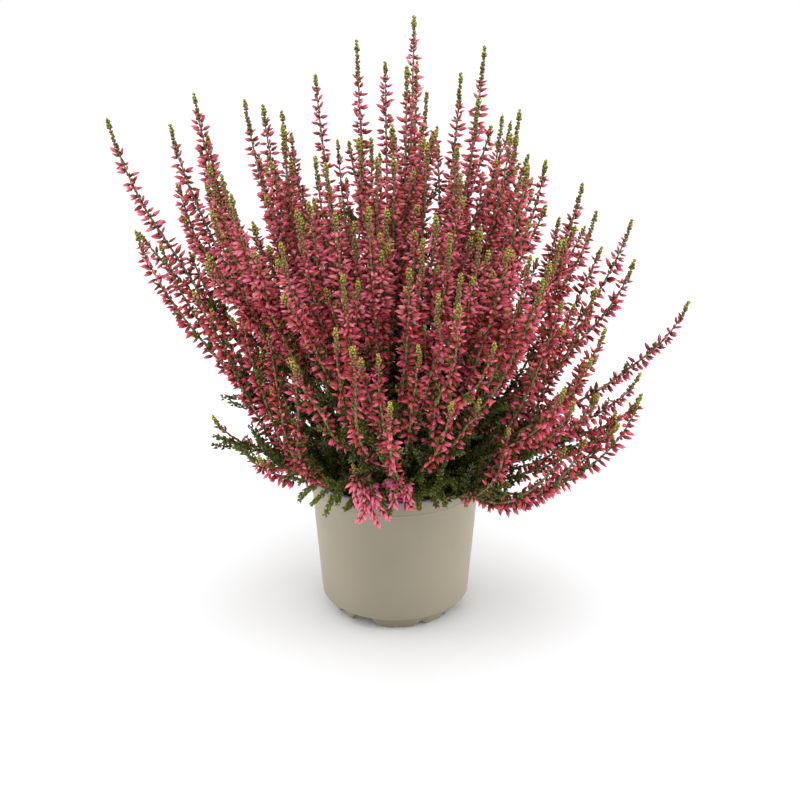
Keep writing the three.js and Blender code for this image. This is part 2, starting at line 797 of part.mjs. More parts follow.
const TUFT_HEIGHT = 10; // of a tuft's stem above the medium
const TUFT_POINT = 3;
const TUFT_FAN = 200 * DEGREE;
const TUFT_SHOOTS = [
  { tilt: 62 * DEGREE, bend: 30 * DEGREE },
  { tilt: 40 * DEGREE, bend: -10 * DEGREE },
];
const LOWEST_SHOOT = 5; // below the top of the tuft's stem
const SHOOT_STEP = 2.5; // from each height of shoots to the next of three

/** One tuft: a short stem by the wall with leafy shoots that fan out over the rim. */
function tuftGeometry(tuft) {
  const azimuth = ((tuft + 0.5) / TUFTS) * 2 * Math.PI - Math.PI / 2;
  const away = new THREE.Vector3(Math.cos(azimuth), Math.sin(azimuth), 0);
  const seat = away.clone().multiplyScalar(TUFT_FOOT).setZ(MEDIUM_TOP - HOLE_DEPTH);
  const top = seat.clone().setZ(MEDIUM_TOP + TUFT_HEIGHT);
  const upright = new THREE.Vector3(0, 0, 1);
  const rings = [seat, top].map((place) => (
    ringAt(place, upright, levelAcross(AXIS, away), Math.PI / 4, [STEM_RADIUS])
  ));
  const parts = [solidOf(skinOf(rings, top.clone().setZ(top.z + TUFT_POINT)))];
  feet.push({ x: seat.x, y: seat.y, angle: azimuth + Math.PI / 4 });
  for (let index = 0; index < SHOOTS_IN_TUFT; index += 1) {
    const start = top.clone().setZ(top.z - LOWEST_SHOOT + (index % 3) * SHOOT_STEP);
    const swing = ((index + 0.5) / SHOOTS_IN_TUFT - 0.5) * TUFT_FAN;
    const length = SHOOT_LENGTH * draw(0.9, 1.3);
    const course = { ...TUFT_SHOOTS[index % 2], azimuth: azimuth + swing, length };
    parts.push(...growShoot(`tuft ${tuft}`, start, course, spikes, shoots));
  }
  return geometryOf(wasm.Manifold.union(parts));
}

const sprayCount = NEAR_SPRAYS.length + CROWN_SPRAYS.length + FAR_SECTORS;
for (let spray = 0; spray < sprayCount; spray += 1) {
  addNode(`spray_${String(spray + 1).padStart(2, '0')}`, sprayGeometry(spray), 'spray');
}
for (let tuft = 0; tuft < TUFTS; tuft += 1) {
  addNode(`tuft_${tuft + 1}`, tuftGeometry(tuft), 'foliage');
}
addNode('medium', mediumGeometry(feet), 'medium');
addNode('pot', potGeometry(), 'pot');

export default heather;
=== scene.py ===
"""A potted heather, a bud-flowering ling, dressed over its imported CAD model."""

import math
from collections import namedtuple

import bmesh
import bpy
import numpy as np
from mathutils import Matrix, Vector, noise


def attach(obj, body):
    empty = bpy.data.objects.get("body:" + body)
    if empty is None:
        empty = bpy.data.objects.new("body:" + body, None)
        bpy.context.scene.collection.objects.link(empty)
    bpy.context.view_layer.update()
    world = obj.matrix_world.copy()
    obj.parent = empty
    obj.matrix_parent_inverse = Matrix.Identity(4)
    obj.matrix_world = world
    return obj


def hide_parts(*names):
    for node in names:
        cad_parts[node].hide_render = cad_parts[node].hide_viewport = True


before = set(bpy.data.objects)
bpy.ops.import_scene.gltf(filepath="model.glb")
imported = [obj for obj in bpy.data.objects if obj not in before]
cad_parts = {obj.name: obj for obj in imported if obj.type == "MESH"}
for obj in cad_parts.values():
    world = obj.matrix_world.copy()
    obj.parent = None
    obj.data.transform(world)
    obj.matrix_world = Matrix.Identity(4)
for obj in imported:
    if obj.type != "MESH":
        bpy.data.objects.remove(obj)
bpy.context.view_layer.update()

# ---- the pot
# A nursery pot, injection moulded in warm grey plastic with a paler violet-grey inside. A
# thicker band stiffens the rim. Holes drain the floor, and the ring foot under it, set in
# from the wall, is cut into lobes that let the water out.

MM = 0.001
POT_HEIGHT = 93
RIM_RADIUS = 54.9
BAND_FOOT = 83
WALL = 1.3
BASE_RADIUS = 47.9
FOOT_TOP = 9
FOOT_RADIUS = 40.8
FOOT_WALL = 1.8
POT_FLOOR = 11.5
POT_STEPS = 144
WALL_TOP_RADIUS = RIM_RADIUS - 1.4
CREASE = math.radians(42)
DRAIN_HOLES = 4
DRAIN_RADIUS = 3.5
DRAIN_CIRCLE = 28
DRAIN_SIDES = 24

# Half of the wall's section in radius and height: from the middle of the underside over the
# foot, the wall and the band to the rim, and down inside to the floor.
POT_SECTION = [
    (0, FOOT_TOP),
    (FOOT_RADIUS - FOOT_WALL - 1, FOOT_TOP),
    (FOOT_RADIUS - FOOT_WALL, FOOT_TOP - 1),
    (FOOT_RADIUS - FOOT_WALL, 0.4),
    (FOOT_RADIUS - FOOT_WALL + 0.4, 0),
    (FOOT_RADIUS - 0.5, 0),
    (FOOT_RADIUS, 0.5),
    (FOOT_RADIUS + 0.9, FOOT_TOP - 0.8),
    (FOOT_RADIUS + 1.6, FOOT_TOP),
    (BASE_RADIUS - 1.3, FOOT_TOP),
    (BASE_RADIUS - 0.4, FOOT_TOP + 0.35),
    (BASE_RADIUS + 0.05, FOOT_TOP + 1.2),
    (BASE_RADIUS + 1.9, 34),
    (BASE_RADIUS + 3.7, 58),
    (WALL_TOP_RADIUS - 0.1, BAND_FOOT - 1.6),
    (WALL_TOP_RADIUS + 0.1, BAND_FOOT - 0.9),
    (RIM_RADIUS - 0.6, BAND_FOOT + 0.2),
    (RIM_RADIUS - 0.4, BAND_FOOT + 0.6),
    (RIM_RADIUS - 0.5, BAND_FOOT + 0.9),
    (RIM_RADIUS - 0.85, BAND_FOOT + 1.3),
    (RIM_RADIUS, POT_HEIGHT - 1.0),
    (RIM_RADIUS - 0.15, POT_HEIGHT - 0.35),
    (RIM_RADIUS - 0.6, POT_HEIGHT),
    (RIM_RADIUS - 2.6, POT_HEIGHT - 0.1),
    (RIM_RADIUS - 3.1, POT_HEIGHT - 0.4),
    (RIM_RADIUS - 3.3, POT_HEIGHT - 1.2),
    (WALL_TOP_RADIUS - WALL, BAND_FOOT),
    (BASE_RADIUS - WALL, POT_FLOOR + 1.5),
    (BASE_RADIUS - WALL - 1.5, POT_FLOOR),
    (0, POT_FLOOR),
]

# The gaps between the feet: degrees from the front, width in degrees, height.
FOOT_GAPS = [
    (-30, 20, 7.5), (24, 5, 3.5), (49, 4, 3.5), (72, 20, 7.5), (116, 5, 4.5),
    (152, 20, 7.5), (200, 5, 4.5), (232, 20, 7.5), (268, 5, 4.5), (304, 7, 5),
]
GAP_SLOPE = 6
RIPPLES = 20
RIPPLE_START = 70
RIPPLE_HEIGHT = 1.3


def from_axis(place):
    """How far a place is from the pot's axis."""
    return math.hypot(place[0], place[1])


def turned(section, steps):
    """A mesh turned round the pot's axis from (radius, height) pairs in millimetres."""
    bm = bmesh.new()
    corners = [bm.verts.new((radius * MM, 0, height * MM)) for radius, height in section]
    edges = [bm.edges.new(pair) for pair in zip(corners, corners[1:])]
    bmesh.ops.spin(
        bm, geom=corners + edges, cent=(0, 0, 0), axis=(0, 0, 1), dvec=(0, 0, 0),
        angle=math.tau, steps=steps, use_merge=True, use_normal_flip=False,
        use_duplicate=False,
    )
    bmesh.ops.remove_doubles(bm, verts=bm.verts, dist=1e-6)
    bmesh.ops.recalc_face_normals(bm, faces=bm.faces)
    return bm


def finished(bm, name, material, smooth=True):
    """The piece that a bmesh makes, in the scene."""
    mesh = bpy.data.meshes.new(name)
    bm.to_mesh(mesh)
    bm.free()
    mesh.polygons.foreach_set("use_smooth", [smooth] * len(mesh.polygons))
    piece = bpy.data.objects.new(name, mesh)
    piece.data.materials.append(material)
    bpy.context.scene.collection.objects.link(piece)
    return piece


def drained(piece):
    """Cuts the round drain holes through the floor of the pot."""
    bm = bmesh.new()
    for hole in range(DRAIN_HOLES):
        angle = hole / DRAIN_HOLES * math.tau
        spot = Vector((math.cos(angle), math.sin(angle), 0)) * DRAIN_CIRCLE * MM
        spot.z = (FOOT_TOP + POT_FLOOR) / 2 * MM
        bmesh.ops.create_cone(
            bm, cap_ends=True, segments=DRAIN_SIDES, radius1=DRAIN_RADIUS * MM,
            radius2=DRAIN_RADIUS * MM, depth=6 * MM, matrix=Matrix.Translation(spot),
        )
    holes = finished(bm, "drain holes", pot_plastic)
    cut = piece.modifiers.new("drain holes", "BOOLEAN")
    cut.operation, cut.object, cut.solver = "DIFFERENCE", holes, "EXACT"
    graph = bpy.context.evaluated_depsgraph_get()
    piece.data = bpy.data.meshes.new_from_object(piece.evaluated_get(graph))
    piece.modifiers.clear()
    bpy.data.objects.remove(holes)


def gap_height(degrees):
    """How far the lower edge of the feet is cut away at an angle from the front."""
    height = 0.0
    for middle, width, depth in FOOT_GAPS:
        off = abs((degrees - middle + 180) % 360 - 180) - width / 2
        slope = min(1.0, max(0.0, 0.5 - off / GAP_SLOPE))
        height = max(height, depth * slope * slope * (3 - 2 * slope))
    ripple = 0.5 + 0.5 * math.cos(math.radians(degrees * RIPPLES - RIPPLE_START))
    return max(height, RIPPLE_HEIGHT * ripple ** 2)


class Shade:
    """One socket of a material. Arithmetic on it adds Math nodes."""

    def __init__(self, socket):
        self.socket = socket

    def node(self, kind, settings, sockets, out=0):
        """A new node of the same material, set up and fed, as the Shade of one output."""
        tree = self.socket.id_data
        made = tree.nodes.new(kind)
        for name, value in settings.items():
            if name == "stops":
                for place, colour in value[1:-1]:
                    made.color_ramp.elements.new(place).color = (*colour, 1)
                made.color_ramp.elements[0].color = (*value[0][1], 1)
                made.color_ramp.elements[-1].color = (*value[-1][1], 1)
            else:
                setattr(made, name, value)
        for name, value in sockets.items():
            if isinstance(value, Shade):
                tree.links.new(value.socket, made.inputs[name])
            elif isinstance(value, tuple) and len(made.inputs[name].default_value) == 4:
                made.inputs[name].default_value = (*value, 1)
            else:
                made.inputs[name].default_value = value
        return Shade(made.outputs[out])

    def maths(self, operation, one, two=0.0):
        return self.node("ShaderNodeMath", {"operation": operation}, {0: one, 1: two})

    def __add__(self, other):
        return self.maths("ADD", self, other)

    __radd__ = __add__

    def __sub__(self, other):
        return self.maths("SUBTRACT", self, other)

    def __rsub__(self, other):
        return self.maths("SUBTRACT", other, self)

    def __mul__(self, other):
        return self.maths("MULTIPLY", self, other)

    __rmul__ = __mul__

    def __pow__(self, other):
        return self.maths("POWER", self, other)

    def __rpow__(self, other):
        return self.maths("POWER", other, self)

    def step(self, low, high):
        """From 0 to 1 in a smooth step as this value goes from low to high."""
        return self.node(
            "ShaderNodeMapRange", {"interpolation_type": "SMOOTHSTEP"},
            {"Value": self, "From Min": low, "From Max": high},
        )

    def blend(self, one, two):
        """Colour one where this share is 0 and colour two where it is 1."""
        return self.node(
            "ShaderNodeMix", {"data_type": "RGBA"}, {0: self, 6: one, 7: two}, out=2
        )


def finish_of(name, **constants):
    """A new material, its Principled shader and a Shade to start its nodes from."""
    material = bpy.data.materials.new(name)
    material.use_nodes = True
    shader = material.node_tree.nodes["Principled BSDF"]
    for socket, value in constants.items():
        shader.inputs[socket.replace("_", " ")].default_value = value
    return material, shader, Shade(shader.outputs[0])


def feed(shader, socket, shade):
    """Lets a shade drive one of the shader's sockets."""
    shade.socket.id_data.links.new(shade.socket, shader.inputs[socket])


WALL_GREY = (0.275, 0.240, 0.172)
WALL_GREY_PALE = (0.294, 0.259, 0.187)
FLOW_STREAK = (0.29, 0.26, 0.20)
PEAT_DUST = (0.27, 0.235, 0.175)
BAND_HIGHLIGHT = (0.40, 0.37, 0.30)
INSIDE_AND_LIP_HIGHLIGHT_GREY = (0.25, 0.252, 0.282)
WALL_TAPER = 5.6 / 74

pot_plastic, shader, start = finish_of("pot plastic", Specular_IOR_Level=0.45)
place = start.node("ShaderNodeTexCoord", {}, {}, out="Object")
xyz = place.node("ShaderNodeSeparateXYZ", {}, {"Vector": place})
x, y, z = (Shade(output) for output in xyz.socket.node.outputs)
radius = (x * x + y * y) ** 0.5
wall_line = BASE_RADIUS * MM + (z - FOOT_TOP * MM) * WALL_TAPER
inside = (wall_line - radius).step(0.5 * MM, 0.9 * MM) * z.step(11 * MM, 14 * MM)
# The top of the rim gets the inside's violet-grey too: a painted highlight on the lip.
lip_highlight = z.step(90.6 * MM, 91.2 * MM)
inside = inside.maths("MAXIMUM", inside, lip_highlight)
cloud = place.node("ShaderNodeTexNoise", {}, {"Vector": place, "Scale": 22, "Detail": 5})
grain = place.node("ShaderNodeTexNoise", {}, {"Vector": place, "Scale": 900, "Detail": 2})
streaked = place.node("ShaderNodeMapping", {}, {"Vector": place, "Scale": (260, 260, 9)})
streak = streaked.node("ShaderNodeTexNoise", {}, {"Vector": streaked, "Scale": 1, "Detail": 3})
outside = cloud.step(0.3, 0.7).blend(WALL_GREY, WALL_GREY_PALE)
outside = (streak.step(0.62, 0.8) * 0.35).blend(outside, FLOW_STREAK)
low_dust = (1 - z.step(4 * MM, 24 * MM)) * cloud.step(0.4, 0.65) * 0.3
outside = low_dust.blend(outside, PEAT_DUST)
# A paler line round the ledge at the foot of the band: a painted highlight where the ledge
# catches the light.
band_highlight = z.step(83.3 * MM, 83.8 * MM) * (1 - z.step(84.0 * MM, 84.5 * MM))
outside = (band_highlight * 0.6).blend(outside, BAND_HIGHLIGHT)
feed(shader, "Base Color", inside.blend(outside, INSIDE_AND_LIP_HIGHLIGHT_GREY))
feed(shader, "Roughness", 0.44 + cloud * 0.1 + streak.step(0.6, 0.8) * 0.08)
bump = grain.node(
    "ShaderNodeBump", {}, {"Strength": 0.12, "Distance": 0.0002, "Height": grain + streak * 0.5}
)
feed(shader, "Normal", bump)

bm = turned(POT_SECTION, POT_STEPS)
for corner in bm.verts:
    out = from_axis(corner.co) / MM
    height = corner.co.z / MM
    if FOOT_RADIUS - FOOT_WALL - 0.1 < out < FOOT_RADIUS + 0.3 and height < 0.6:
        degrees = math.degrees(math.atan2(corner.co.x, -corner.co.y))
        corner.co.z = (height + gap_height(degrees)) * MM
pot = finished(bm, "nursery_pot", pot_plastic)
drained(pot)
pot.modifiers.new("soft edges", "EDGE_SPLIT").split_angle = CREASE
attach(pot, "root")
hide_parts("pot")

# ---- the growing medium
# Dark peat pressed into the pot round the root ball, crumbly on top and a little lower at
# the wall, with a few paler fibres. It fills the pot to its floor.

FIT = 0.35
MEDIUM_TOP = 84
MEDIUM_RADIUS = WALL_TOP_RADIUS - WALL - 0.5
MEDIUM_STEPS = 96
MEDIUM_SECTION = [
    (0, POT_FLOOR + FIT),
    (BASE_RADIUS - WALL - 2, POT_FLOOR + FIT),
    (BASE_RADIUS - WALL - FIT, POT_FLOOR + 2),
    (MEDIUM_RADIUS, MEDIUM_TOP - 2.5),
]
TOP_RINGS = 10
EDGE_FALL_FROM = 44
PEAT_BLACK = (0.012, 0.008, 0.006)
PEAT_BROWN = (0.045, 0.03, 0.02)
PEAT_FIBRE = (0.09, 0.062, 0.038)

peat, shader, start = finish_of("damp peat", Roughness=0.95, Specular_IOR_Level=0.2)
place = start.node("ShaderNodeTexCoord", {}, {}, out="Object")
crumb = place.node("ShaderNodeTexVoronoi", {"feature": "F1"}, {"Vector": place, "Scale": 420})
shred = place.node("ShaderNodeTexNoise", {}, {"Vector": place, "Scale": 260, "Detail": 6})
colour = shred.step(0.35, 0.7).blend(PEAT_BLACK, PEAT_BROWN)
colour = (crumb.step(0.5, 0.9) * 0.5).blend(colour, PEAT_FIBRE)
feed(shader, "Base Color", colour)

bm = turned(MEDIUM_SECTION, MEDIUM_STEPS)
top_ring = [edge for edge in bm.edges if edge.is_boundary and edge.verts[0].co.z > 0.05]
bmesh.ops.contextual_create(bm, geom=top_ring)
top = max(bm.faces, key=lambda face: face.calc_center_median().z)
for ring in range(TOP_RINGS):
    width = MEDIUM_RADIUS * MM * 0.09 * (1 if ring else 0.6)
    bmesh.ops.inset_region(bm, faces=[top], thickness=width)
bmesh.ops.poke(bm, faces=[top])
for corner in bm.verts:
    if corner.co.z > (MEDIUM_TOP - 3) * MM:
        out = from_axis(corner.co) / MM
        level = MEDIUM_TOP - 0.4 - 2.0 * max(0.0, (out - EDGE_FALL_FROM) / 8) ** 2
        rough = noise.noise(corner.co * 260) * 0.9 + noise.noise(corner.co * 700) * 0.6
        corner.co.z = (level + rough * (1 if out < 50 else 0.2)) * MM
bmesh.ops.recalc_face_normals(bm, faces=bm.faces)
medium = finished(bm, "peat_medium", peat, smooth=False)
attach(medium, "root")
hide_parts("medium")

# ---- courses of the stems
# Each spray stands in the medium, forks low down into up to three spikes and bends up
# towards the light. Neighbours lean apart until their buds have room. These are the same
# courses as the solids have, in millimetres.

NEAR_SPRAYS = [
    [(-170, 15, 310)],
    [(-150, -20, 250), (-141, 4, 238)],
    [(-132, 10, 307), (-119, 22, 324)],
    [(-102, -40, 290), (-96, -74, 271)],
    [(-92, -60, 287), (-84, -82, 280)],
    [(-88, 12, 321), (-74, -15, 320), (-61, -38, 311)],
    [(-50, -88, 273), (-57, -104, 259)],
    [(-43, -45, 295), (-36, -64, 294)],
    [(-30, -92, 272), (-21, -76, 265)],
    [(-22, 15, 354)],
    [(-19, -50, 305), (-13, -28, 303)],
    [(11, 0, 367), (13, 19, 342)],
    [(7, -19, 341), (-1, -38, 311)],
    [(-9, -67, 297), (0, -56, 296)],
    [(-13, -90, 275), (-4, -74, 271)],
    [(8, -104, 246), (15, -91, 259)],
    [(-26, -108, 244)],
    [(18, -42, 302), (22, -80, 269)],
    [(-29, -114, 217), (-53, -104, 197)],
    [(-22, -119, 210), (-18, -101, 198), (-8, -112, 203)],
    [(17, -106, 207), (23, -113, 235)],
    [(51, 0, 351), (46, -30, 325)],
    [(60, -24, 315), (63, -46, 307)],
    [(74, 16, 315), (70, -10, 303)],
    [(72, -53, 292), (86, -20, 290)],
    [(34, -50, 301), (35, -72, 289)],
    [(111, 2, 274), (114, -32, 263)],
    [(145, 18, 250), (139, -25, 234)],
    [(174, -20, 208)],
    [(89, -70, 254), (81, -89, 246)],
    [(70, -97, 251), (75, -110, 242)],
    [(59, -88, 253), (45, -83, 263)],
    [(29, -88, 261), (34, -107, 244)],
    [(32, -119, 231), (52, -108, 208)],
    [(118, -60, 202), (113, -50, 223)],
    [(107, -82, 192), (90, -102, 181)],
    [(115, -68, 166), (98, -88, 169)],
    [(147, -26, 166), (143, -52, 161), (128, -66, 148)],
    [(-2, -132, 184)],
    [(30, -112, 177), (41, -92, 172)],
    [(-18, -84, 100)],
    [(-110, -30, 140), (-78, -68, 129)],
]
CROWN_SPRAYS = [
    [(-48, 38, 334), (-70, 48, 312)],
    [(-6, 50, 341), (20, 66, 322)],
    [(40, 40, 335), (72, 48, 306)],
]

# The far side has a spike at each distance and height in each sector, by a rule.
FAR_SECTORS = 8
FAR_START = 12
FAR_STEP = 21.5
FAR_LEVELS = [(84, 292), (118, 244), (126, 184)]

FOOT_LEVEL = MEDIUM_TOP + 2
FOOT_SPREAD = 33
ROOT_DEPTH = 20
OUTERMOST_LEAN = math.radians(60)
FLATTEST_START = math.radians(50)
START_LEAN = 1.3
END_LEAN = 0.35
HANGING_BELOW = 120
HANGING_TILT = math.radians(140)
HOLD_START = 0.32
HOLD_END = 0.3
SAMPLES = 24
FORK_AT = 5
FORK_STEP = 2

UP = np.array([0.0, 0.0, 1.0])

series = {"state": 20263}


def draw(low, high):
    """The next number of one fixed series, from low to high."""
    series["state"] = (series["state"] * 1664525 + 1013904223) % 4294967296
    return low + (high - low) * (series["state"] / 4294967296)


def far_sprays():
    """The far side of the bush: in each sector an upper, a middle and a low spike."""
    sprays = []
    for sector in range(FAR_SECTORS):
        tips = []
        for level, (reach, height) in enumerate(FAR_LEVELS):
            angle = math.radians(FAR_START + FAR_STEP * (sector + level % 2 * 0.5))
            angle += draw(-0.05, 0.05)
            out = reach + draw(-6, 6)
            tips.append((out * math.cos(angle), out * math.sin(angle), height + draw(-16, 16)))
        sprays.append(tips)
    return sprays


def unit(vectors):
    return vectors / np.linalg.norm(vectors, axis=-1, keepdims=True)


def lean_of(start, tip):
    return math.atan2(math.hypot(tip[0] - start[0], tip[1] - start[1]), tip[2] - start[2])


def leaning(start, tip, tilt):
    """A direction leaning by tilt from upright towards where tip lies from start."""
    away = unit(np.array([tip[0] - start[0], tip[1] - start[1], 0.0]))
    return away * math.sin(tilt) + UP * math.cos(tilt)


def course(start, out, tip, end):
    """Points along a stem that leaves start along out and ends at tip along end."""
    span = np.linalg.norm(tip - start)
    t = np.linspace(0, 1, SAMPLES)[:, None]
    return (
        (1 - t) ** 3 * start + 3 * (1 - t) ** 2 * t * (start + out * span * HOLD_START)
        + 3 * (1 - t) * t ** 2 * (tip - end * span * HOLD_END) + t ** 3 * tip
    )


def first_courses(sprays):
    """Each spike's spray, main spike, fork and points, before it makes room."""
    spikes = []
    for spray, tips in enumerate(sprays):
        tip = np.array(tips[0], float)
        lean = lean_of((0, 0, FOOT_LEVEL - ROOT_DEPTH), tip)
        spread = FOOT_SPREAD * min(1, lean / OUTERMOST_LEAN) / from_axis(tip)
        foot = np.array([tip[0] * spread, tip[1] * spread, FOOT_LEVEL])
        tilt = lean_of(foot, tip)
        hangs = tip[2] < HANGING_BELOW and len(tips) == 1
        out = leaning(foot, tip, min(tilt * START_LEAN, FLATTEST_START))
        end = leaning(foot, tip, HANGING_TILT if hangs else tilt * END_LEAN)
        trunk = len(spikes)
        spikes.append({"spray": spray, "main": None, "points": course(foot, out, tip, end)})
        points = spikes[trunk]["points"]
        for index, place in enumerate(tips[1:]):
            at = FORK_AT + index * FORK_STEP
            start, tip = points[at], np.array(place, float)
            onward = unit(points[at + 1] - points[at - 1])
            lift = leaning(start, tip, lean_of(start, tip) * END_LEAN)
            side = course(start, onward, tip, lift)
            spikes.append({"spray": spray, "main": trunk, "fork": at, "points": side})
    return spikes


def run_of(points):
    """The length along a path up to each of its points."""
    steps = np.linalg.norm(np.diff(points, axis=0), axis=1)
    return np.concatenate([[0.0], np.cumsum(steps)])


TIP_LENGTH = 13
FLOWERED = 0.52
LONGEST_FLOWERED = 120
ROOM_IN_FLOWER = 6.3
ROOM_AT_STEM = 2.9
ROOM_GROWS_OVER = 25
ROUNDS = 60
PUSH = 0.25
LOOK_AGAIN = 6
LOOK_WITHIN = 26.0
SAMPLES_TO_PART = 10
STIFF_SAMPLES = 3
STIFF_GIVE = 0.5
GIVE_IN_HEIGHT = 0.5


def room_along(points):
    """Half the room that each sample of a spike wants."""
    length = run_of(points)[-1]
    flowered = min(LONGEST_FLOWERED, length * FLOWERED)
    grows = length - flowered - TIP_LENGTH - ROOM_GROWS_OVER
    run = length * np.arange(SAMPLES) / (SAMPLES - 1)
    share = np.clip((run - grows) / ROOM_GROWS_OVER, 0, 1)
    return ROOM_AT_STEM + (ROOM_IN_FLOWER - ROOM_AT_STEM) * share


def smoothed(pushes):
    """Each entry averaged with its neighbours along the spike."""
    before = np.concatenate([pushes[:, :1], pushes[:, :-1]], axis=1)
    after = np.concatenate([pushes[:, 1:], pushes[:, -1:]], axis=1)
    return (before + after) * 0.25 + pushes * 0.5


def make_room(spikes):
    """Stems that come too near each other lean apart, a little in each round."""
    points = np.array([spike["points"] for spike in spikes])
    room = np.array([room_along(spike["points"]) for spike in spikes]).ravel()
    spike_of = np.repeat(np.arange(len(spikes)), SAMPLES)
    spray_of = np.array([spike["spray"] for spike in spikes])[spike_of]
    side = np.array([spike["main"] is not None for spike in spikes])[spike_of]
    sample = np.tile(np.arange(SAMPLES), len(spikes))
    stiff = np.arange(SAMPLES) >= SAMPLES - STIFF_SAMPLES
    give = np.where(stiff, STIFF_GIVE, 1.0)[:, None] * np.array([1, 1, GIVE_IN_HEIGHT])
    give[0, 2] = 0
    fade = ((1 - np.arange(SAMPLES) / (SAMPLES - 1)) ** 2)[:, None]
    for turn in range(ROUNDS):
        flat = points.reshape(-1, 3)
        if turn % LOOK_AGAIN == 0:
            near = ((flat[:, None, :] - flat[None, :, :]) ** 2).sum(2) < LOOK_WITHIN ** 2
            one, two = np.nonzero(near & (spike_of[:, None] < spike_of[None, :]))
            parted = np.where(side[one], sample[one], SAMPLES_TO_PART)
            share = np.minimum(np.minimum(parted, sample[two]), SAMPLES_TO_PART)
            share = share / SAMPLES_TO_PART
            wanted = room[one] + room[two]
            wanted = np.where(spray_of[one] == spray_of[two], wanted * share, wanted)
        gap = flat[one] - flat[two]
        distance = np.linalg.norm(gap, axis=1)
        close = (distance < wanted) & (distance > 0)
        push = gap[close] * (PUSH * (wanted[close] / distance[close] - 1))[:, None]
        pushes = np.zeros_like(flat)
        np.add.at(pushes, one[close], push)
        np.add.at(pushes, two[close], -push)
        points = points + smoothed(smoothed(pushes.reshape(points.shape))) * give
        for index, spike in enumerate(spikes):
            if spike["main"] is not None:
                back = points[spike["main"], spike["fork"]] - points[index, 0]
                points[index] += back * fade
    for index, spike in enumerate(spikes):
        spike["points"] = points[index]


sprays = NEAR_SPRAYS + CROWN_SPRAYS + far_sprays()
spikes = first_courses(sprays)
make_room(spikes)


class Path:
    """A stem's course, finely spaced, that can be read at any length along it."""

    def __init__(self, points, fine=1):
        slopes = np.gradient(points, axis=0)
        t = (np.arange(fine) / fine)[None, :, None]
        a, b = points[:-1, None], points[1:, None]
        m, n = slopes[:-1, None], slopes[1:, None]
        curve = (
            (2 * t ** 3 - 3 * t ** 2 + 1) * a + (t ** 3 - 2 * t ** 2 + t) * m
            + (3 * t ** 2 - 2 * t ** 3) * b + (t ** 3 - t ** 2) * n
        )
        self.points = np.concatenate([curve.reshape(-1, 3), points[-1:]])
        self.run = run_of(self.points)
        self.length = self.run[-1]
        self.ways = np.gradient(self.points, axis=0)

    def at(self, run):
        """Places and unit directions at the given lengths."""
        run = np.atleast_1d(run)
        place = np.stack([np.interp(run, self.run, self.points[:, k]) for k in range(3)], 1)
        way = np.stack([np.interp(run, self.run, self.ways[:, k]) for k in range(3)], 1)
        return place, unit(way)


for spike in spikes:
    spike["path"] = Path(spike["points"])

# ---- the woody stems
# Thin brown stems with fine lengthwise cracks, olive where they are young. Each stands
# straight in its hole and thins towards its tip. All stems of a spray are one piece.

STEM_RADIUS = 1.45
TWIG_RADIUS = 0.6
SEAT_LEVEL = MEDIUM_TOP - 9.6
STEM_SIDES = 6
TWIG_SIDES = 4
OLD_CRACK = (0.16, 0.10, 0.06)
OLD_BARK = (0.48, 0.34, 0.23)
YOUNG_CRACK = (0.12, 0.076, 0.038)
YOUNG_BARK = (0.42, 0.295, 0.165)

rng = np.random.default_rng(12)


def own_map(start):
    """A piece's own map, and its two values: the way along a form and the way across."""
    uv = start.node("ShaderNodeUVMap", {"uv_map": "OFBake"}, {})
    parts = uv.node("ShaderNodeSeparateXYZ", {}, {"Vector": uv}).socket.node.outputs
    return uv, Shade(parts[0]), Shade(parts[1])


bark, shader, start = finish_of("heather bark", Roughness=0.8, Specular_IOR_Level=0.3)
uv, along, _ = own_map(start)
long_grain = uv.node("ShaderNodeMapping", {}, {"Vector": uv, "Scale": (70, 14, 1)})
fibre = uv.node("ShaderNodeTexNoise", {}, {"Vector": long_grain, "Scale": 1, "Detail": 4})
old = fibre.step(0.35, 0.68).blend(OLD_CRACK, OLD_BARK)
young = fibre.step(0.3, 0.7).blend(YOUNG_CRACK, YOUNG_BARK)
feed(shader, "Base Color", along.step(0.25, 0.6).blend(old, young))


def tubes(courses, sides):
    """A mesh of round tubes with closed ends, from the (points, radii) of each."""
    line = bpy.data.curves.new("tubes", "CURVE")
    line.dimensions = "3D"
    line.bevel_depth = MM
    line.bevel_resolution = sides // 2 - 2
    line.use_fill_caps = True
    for points, radii in courses:
        spline = line.splines.new("POLY")
        spline.points.add(len(points) - 1)
        full = np.concatenate([points * MM, np.ones((len(points), 1))], axis=1)
        spline.points.foreach_set("co", full.ravel())
        spline.points.foreach_set("radius", radii)
    holder = bpy.data.objects.new("tubes", line)
    mesh = bpy.data.meshes.new_from_object(holder)
    bpy.data.objects.remove(holder)
    bpy.data.curves.remove(line)
    mesh.uv_layers[0].name = "OFBake"
    return mesh


def stems_piece(name, courses, twigs, youth=(0, 1)):
    """Stems, and the twigs of their leafy shoots, as one piece in the scene.

    Youth says where the twigs' bark begins between old and young, and how far it goes on.
    """
    twig_mesh = tubes(twigs, TWIG_SIDES)
    spots = np.empty(len(twig_mesh.loops) * 2)
    twig_mesh.uv_layers[0].data.foreach_get("uv", spots)
    spots[0::2] = youth[0] + youth[1] * spots[0::2]
    twig_mesh.uv_layers[0].data.foreach_set("uv", spots)
    bm = bmesh.new()
    bm.from_mesh(tubes(courses, STEM_SIDES))
    bm.from_mesh(twig_mesh)
    return finished(bm, name + "_stems", bark)


def stem_radii(path, rooted=False):
    """The radius at each point of a path: stout at the foot where it stands in the medium."""
    share = path.run / path.length
    thick = STEM_RADIUS if rooted else TWIG_RADIUS * 1.5
    radii = TWIG_RADIUS + (thick - TWIG_RADIUS) * (1 - share) ** 1.6
    return radii * (1 - 0.45 * np.clip((share - 0.8) / 0.2, 0, 1))


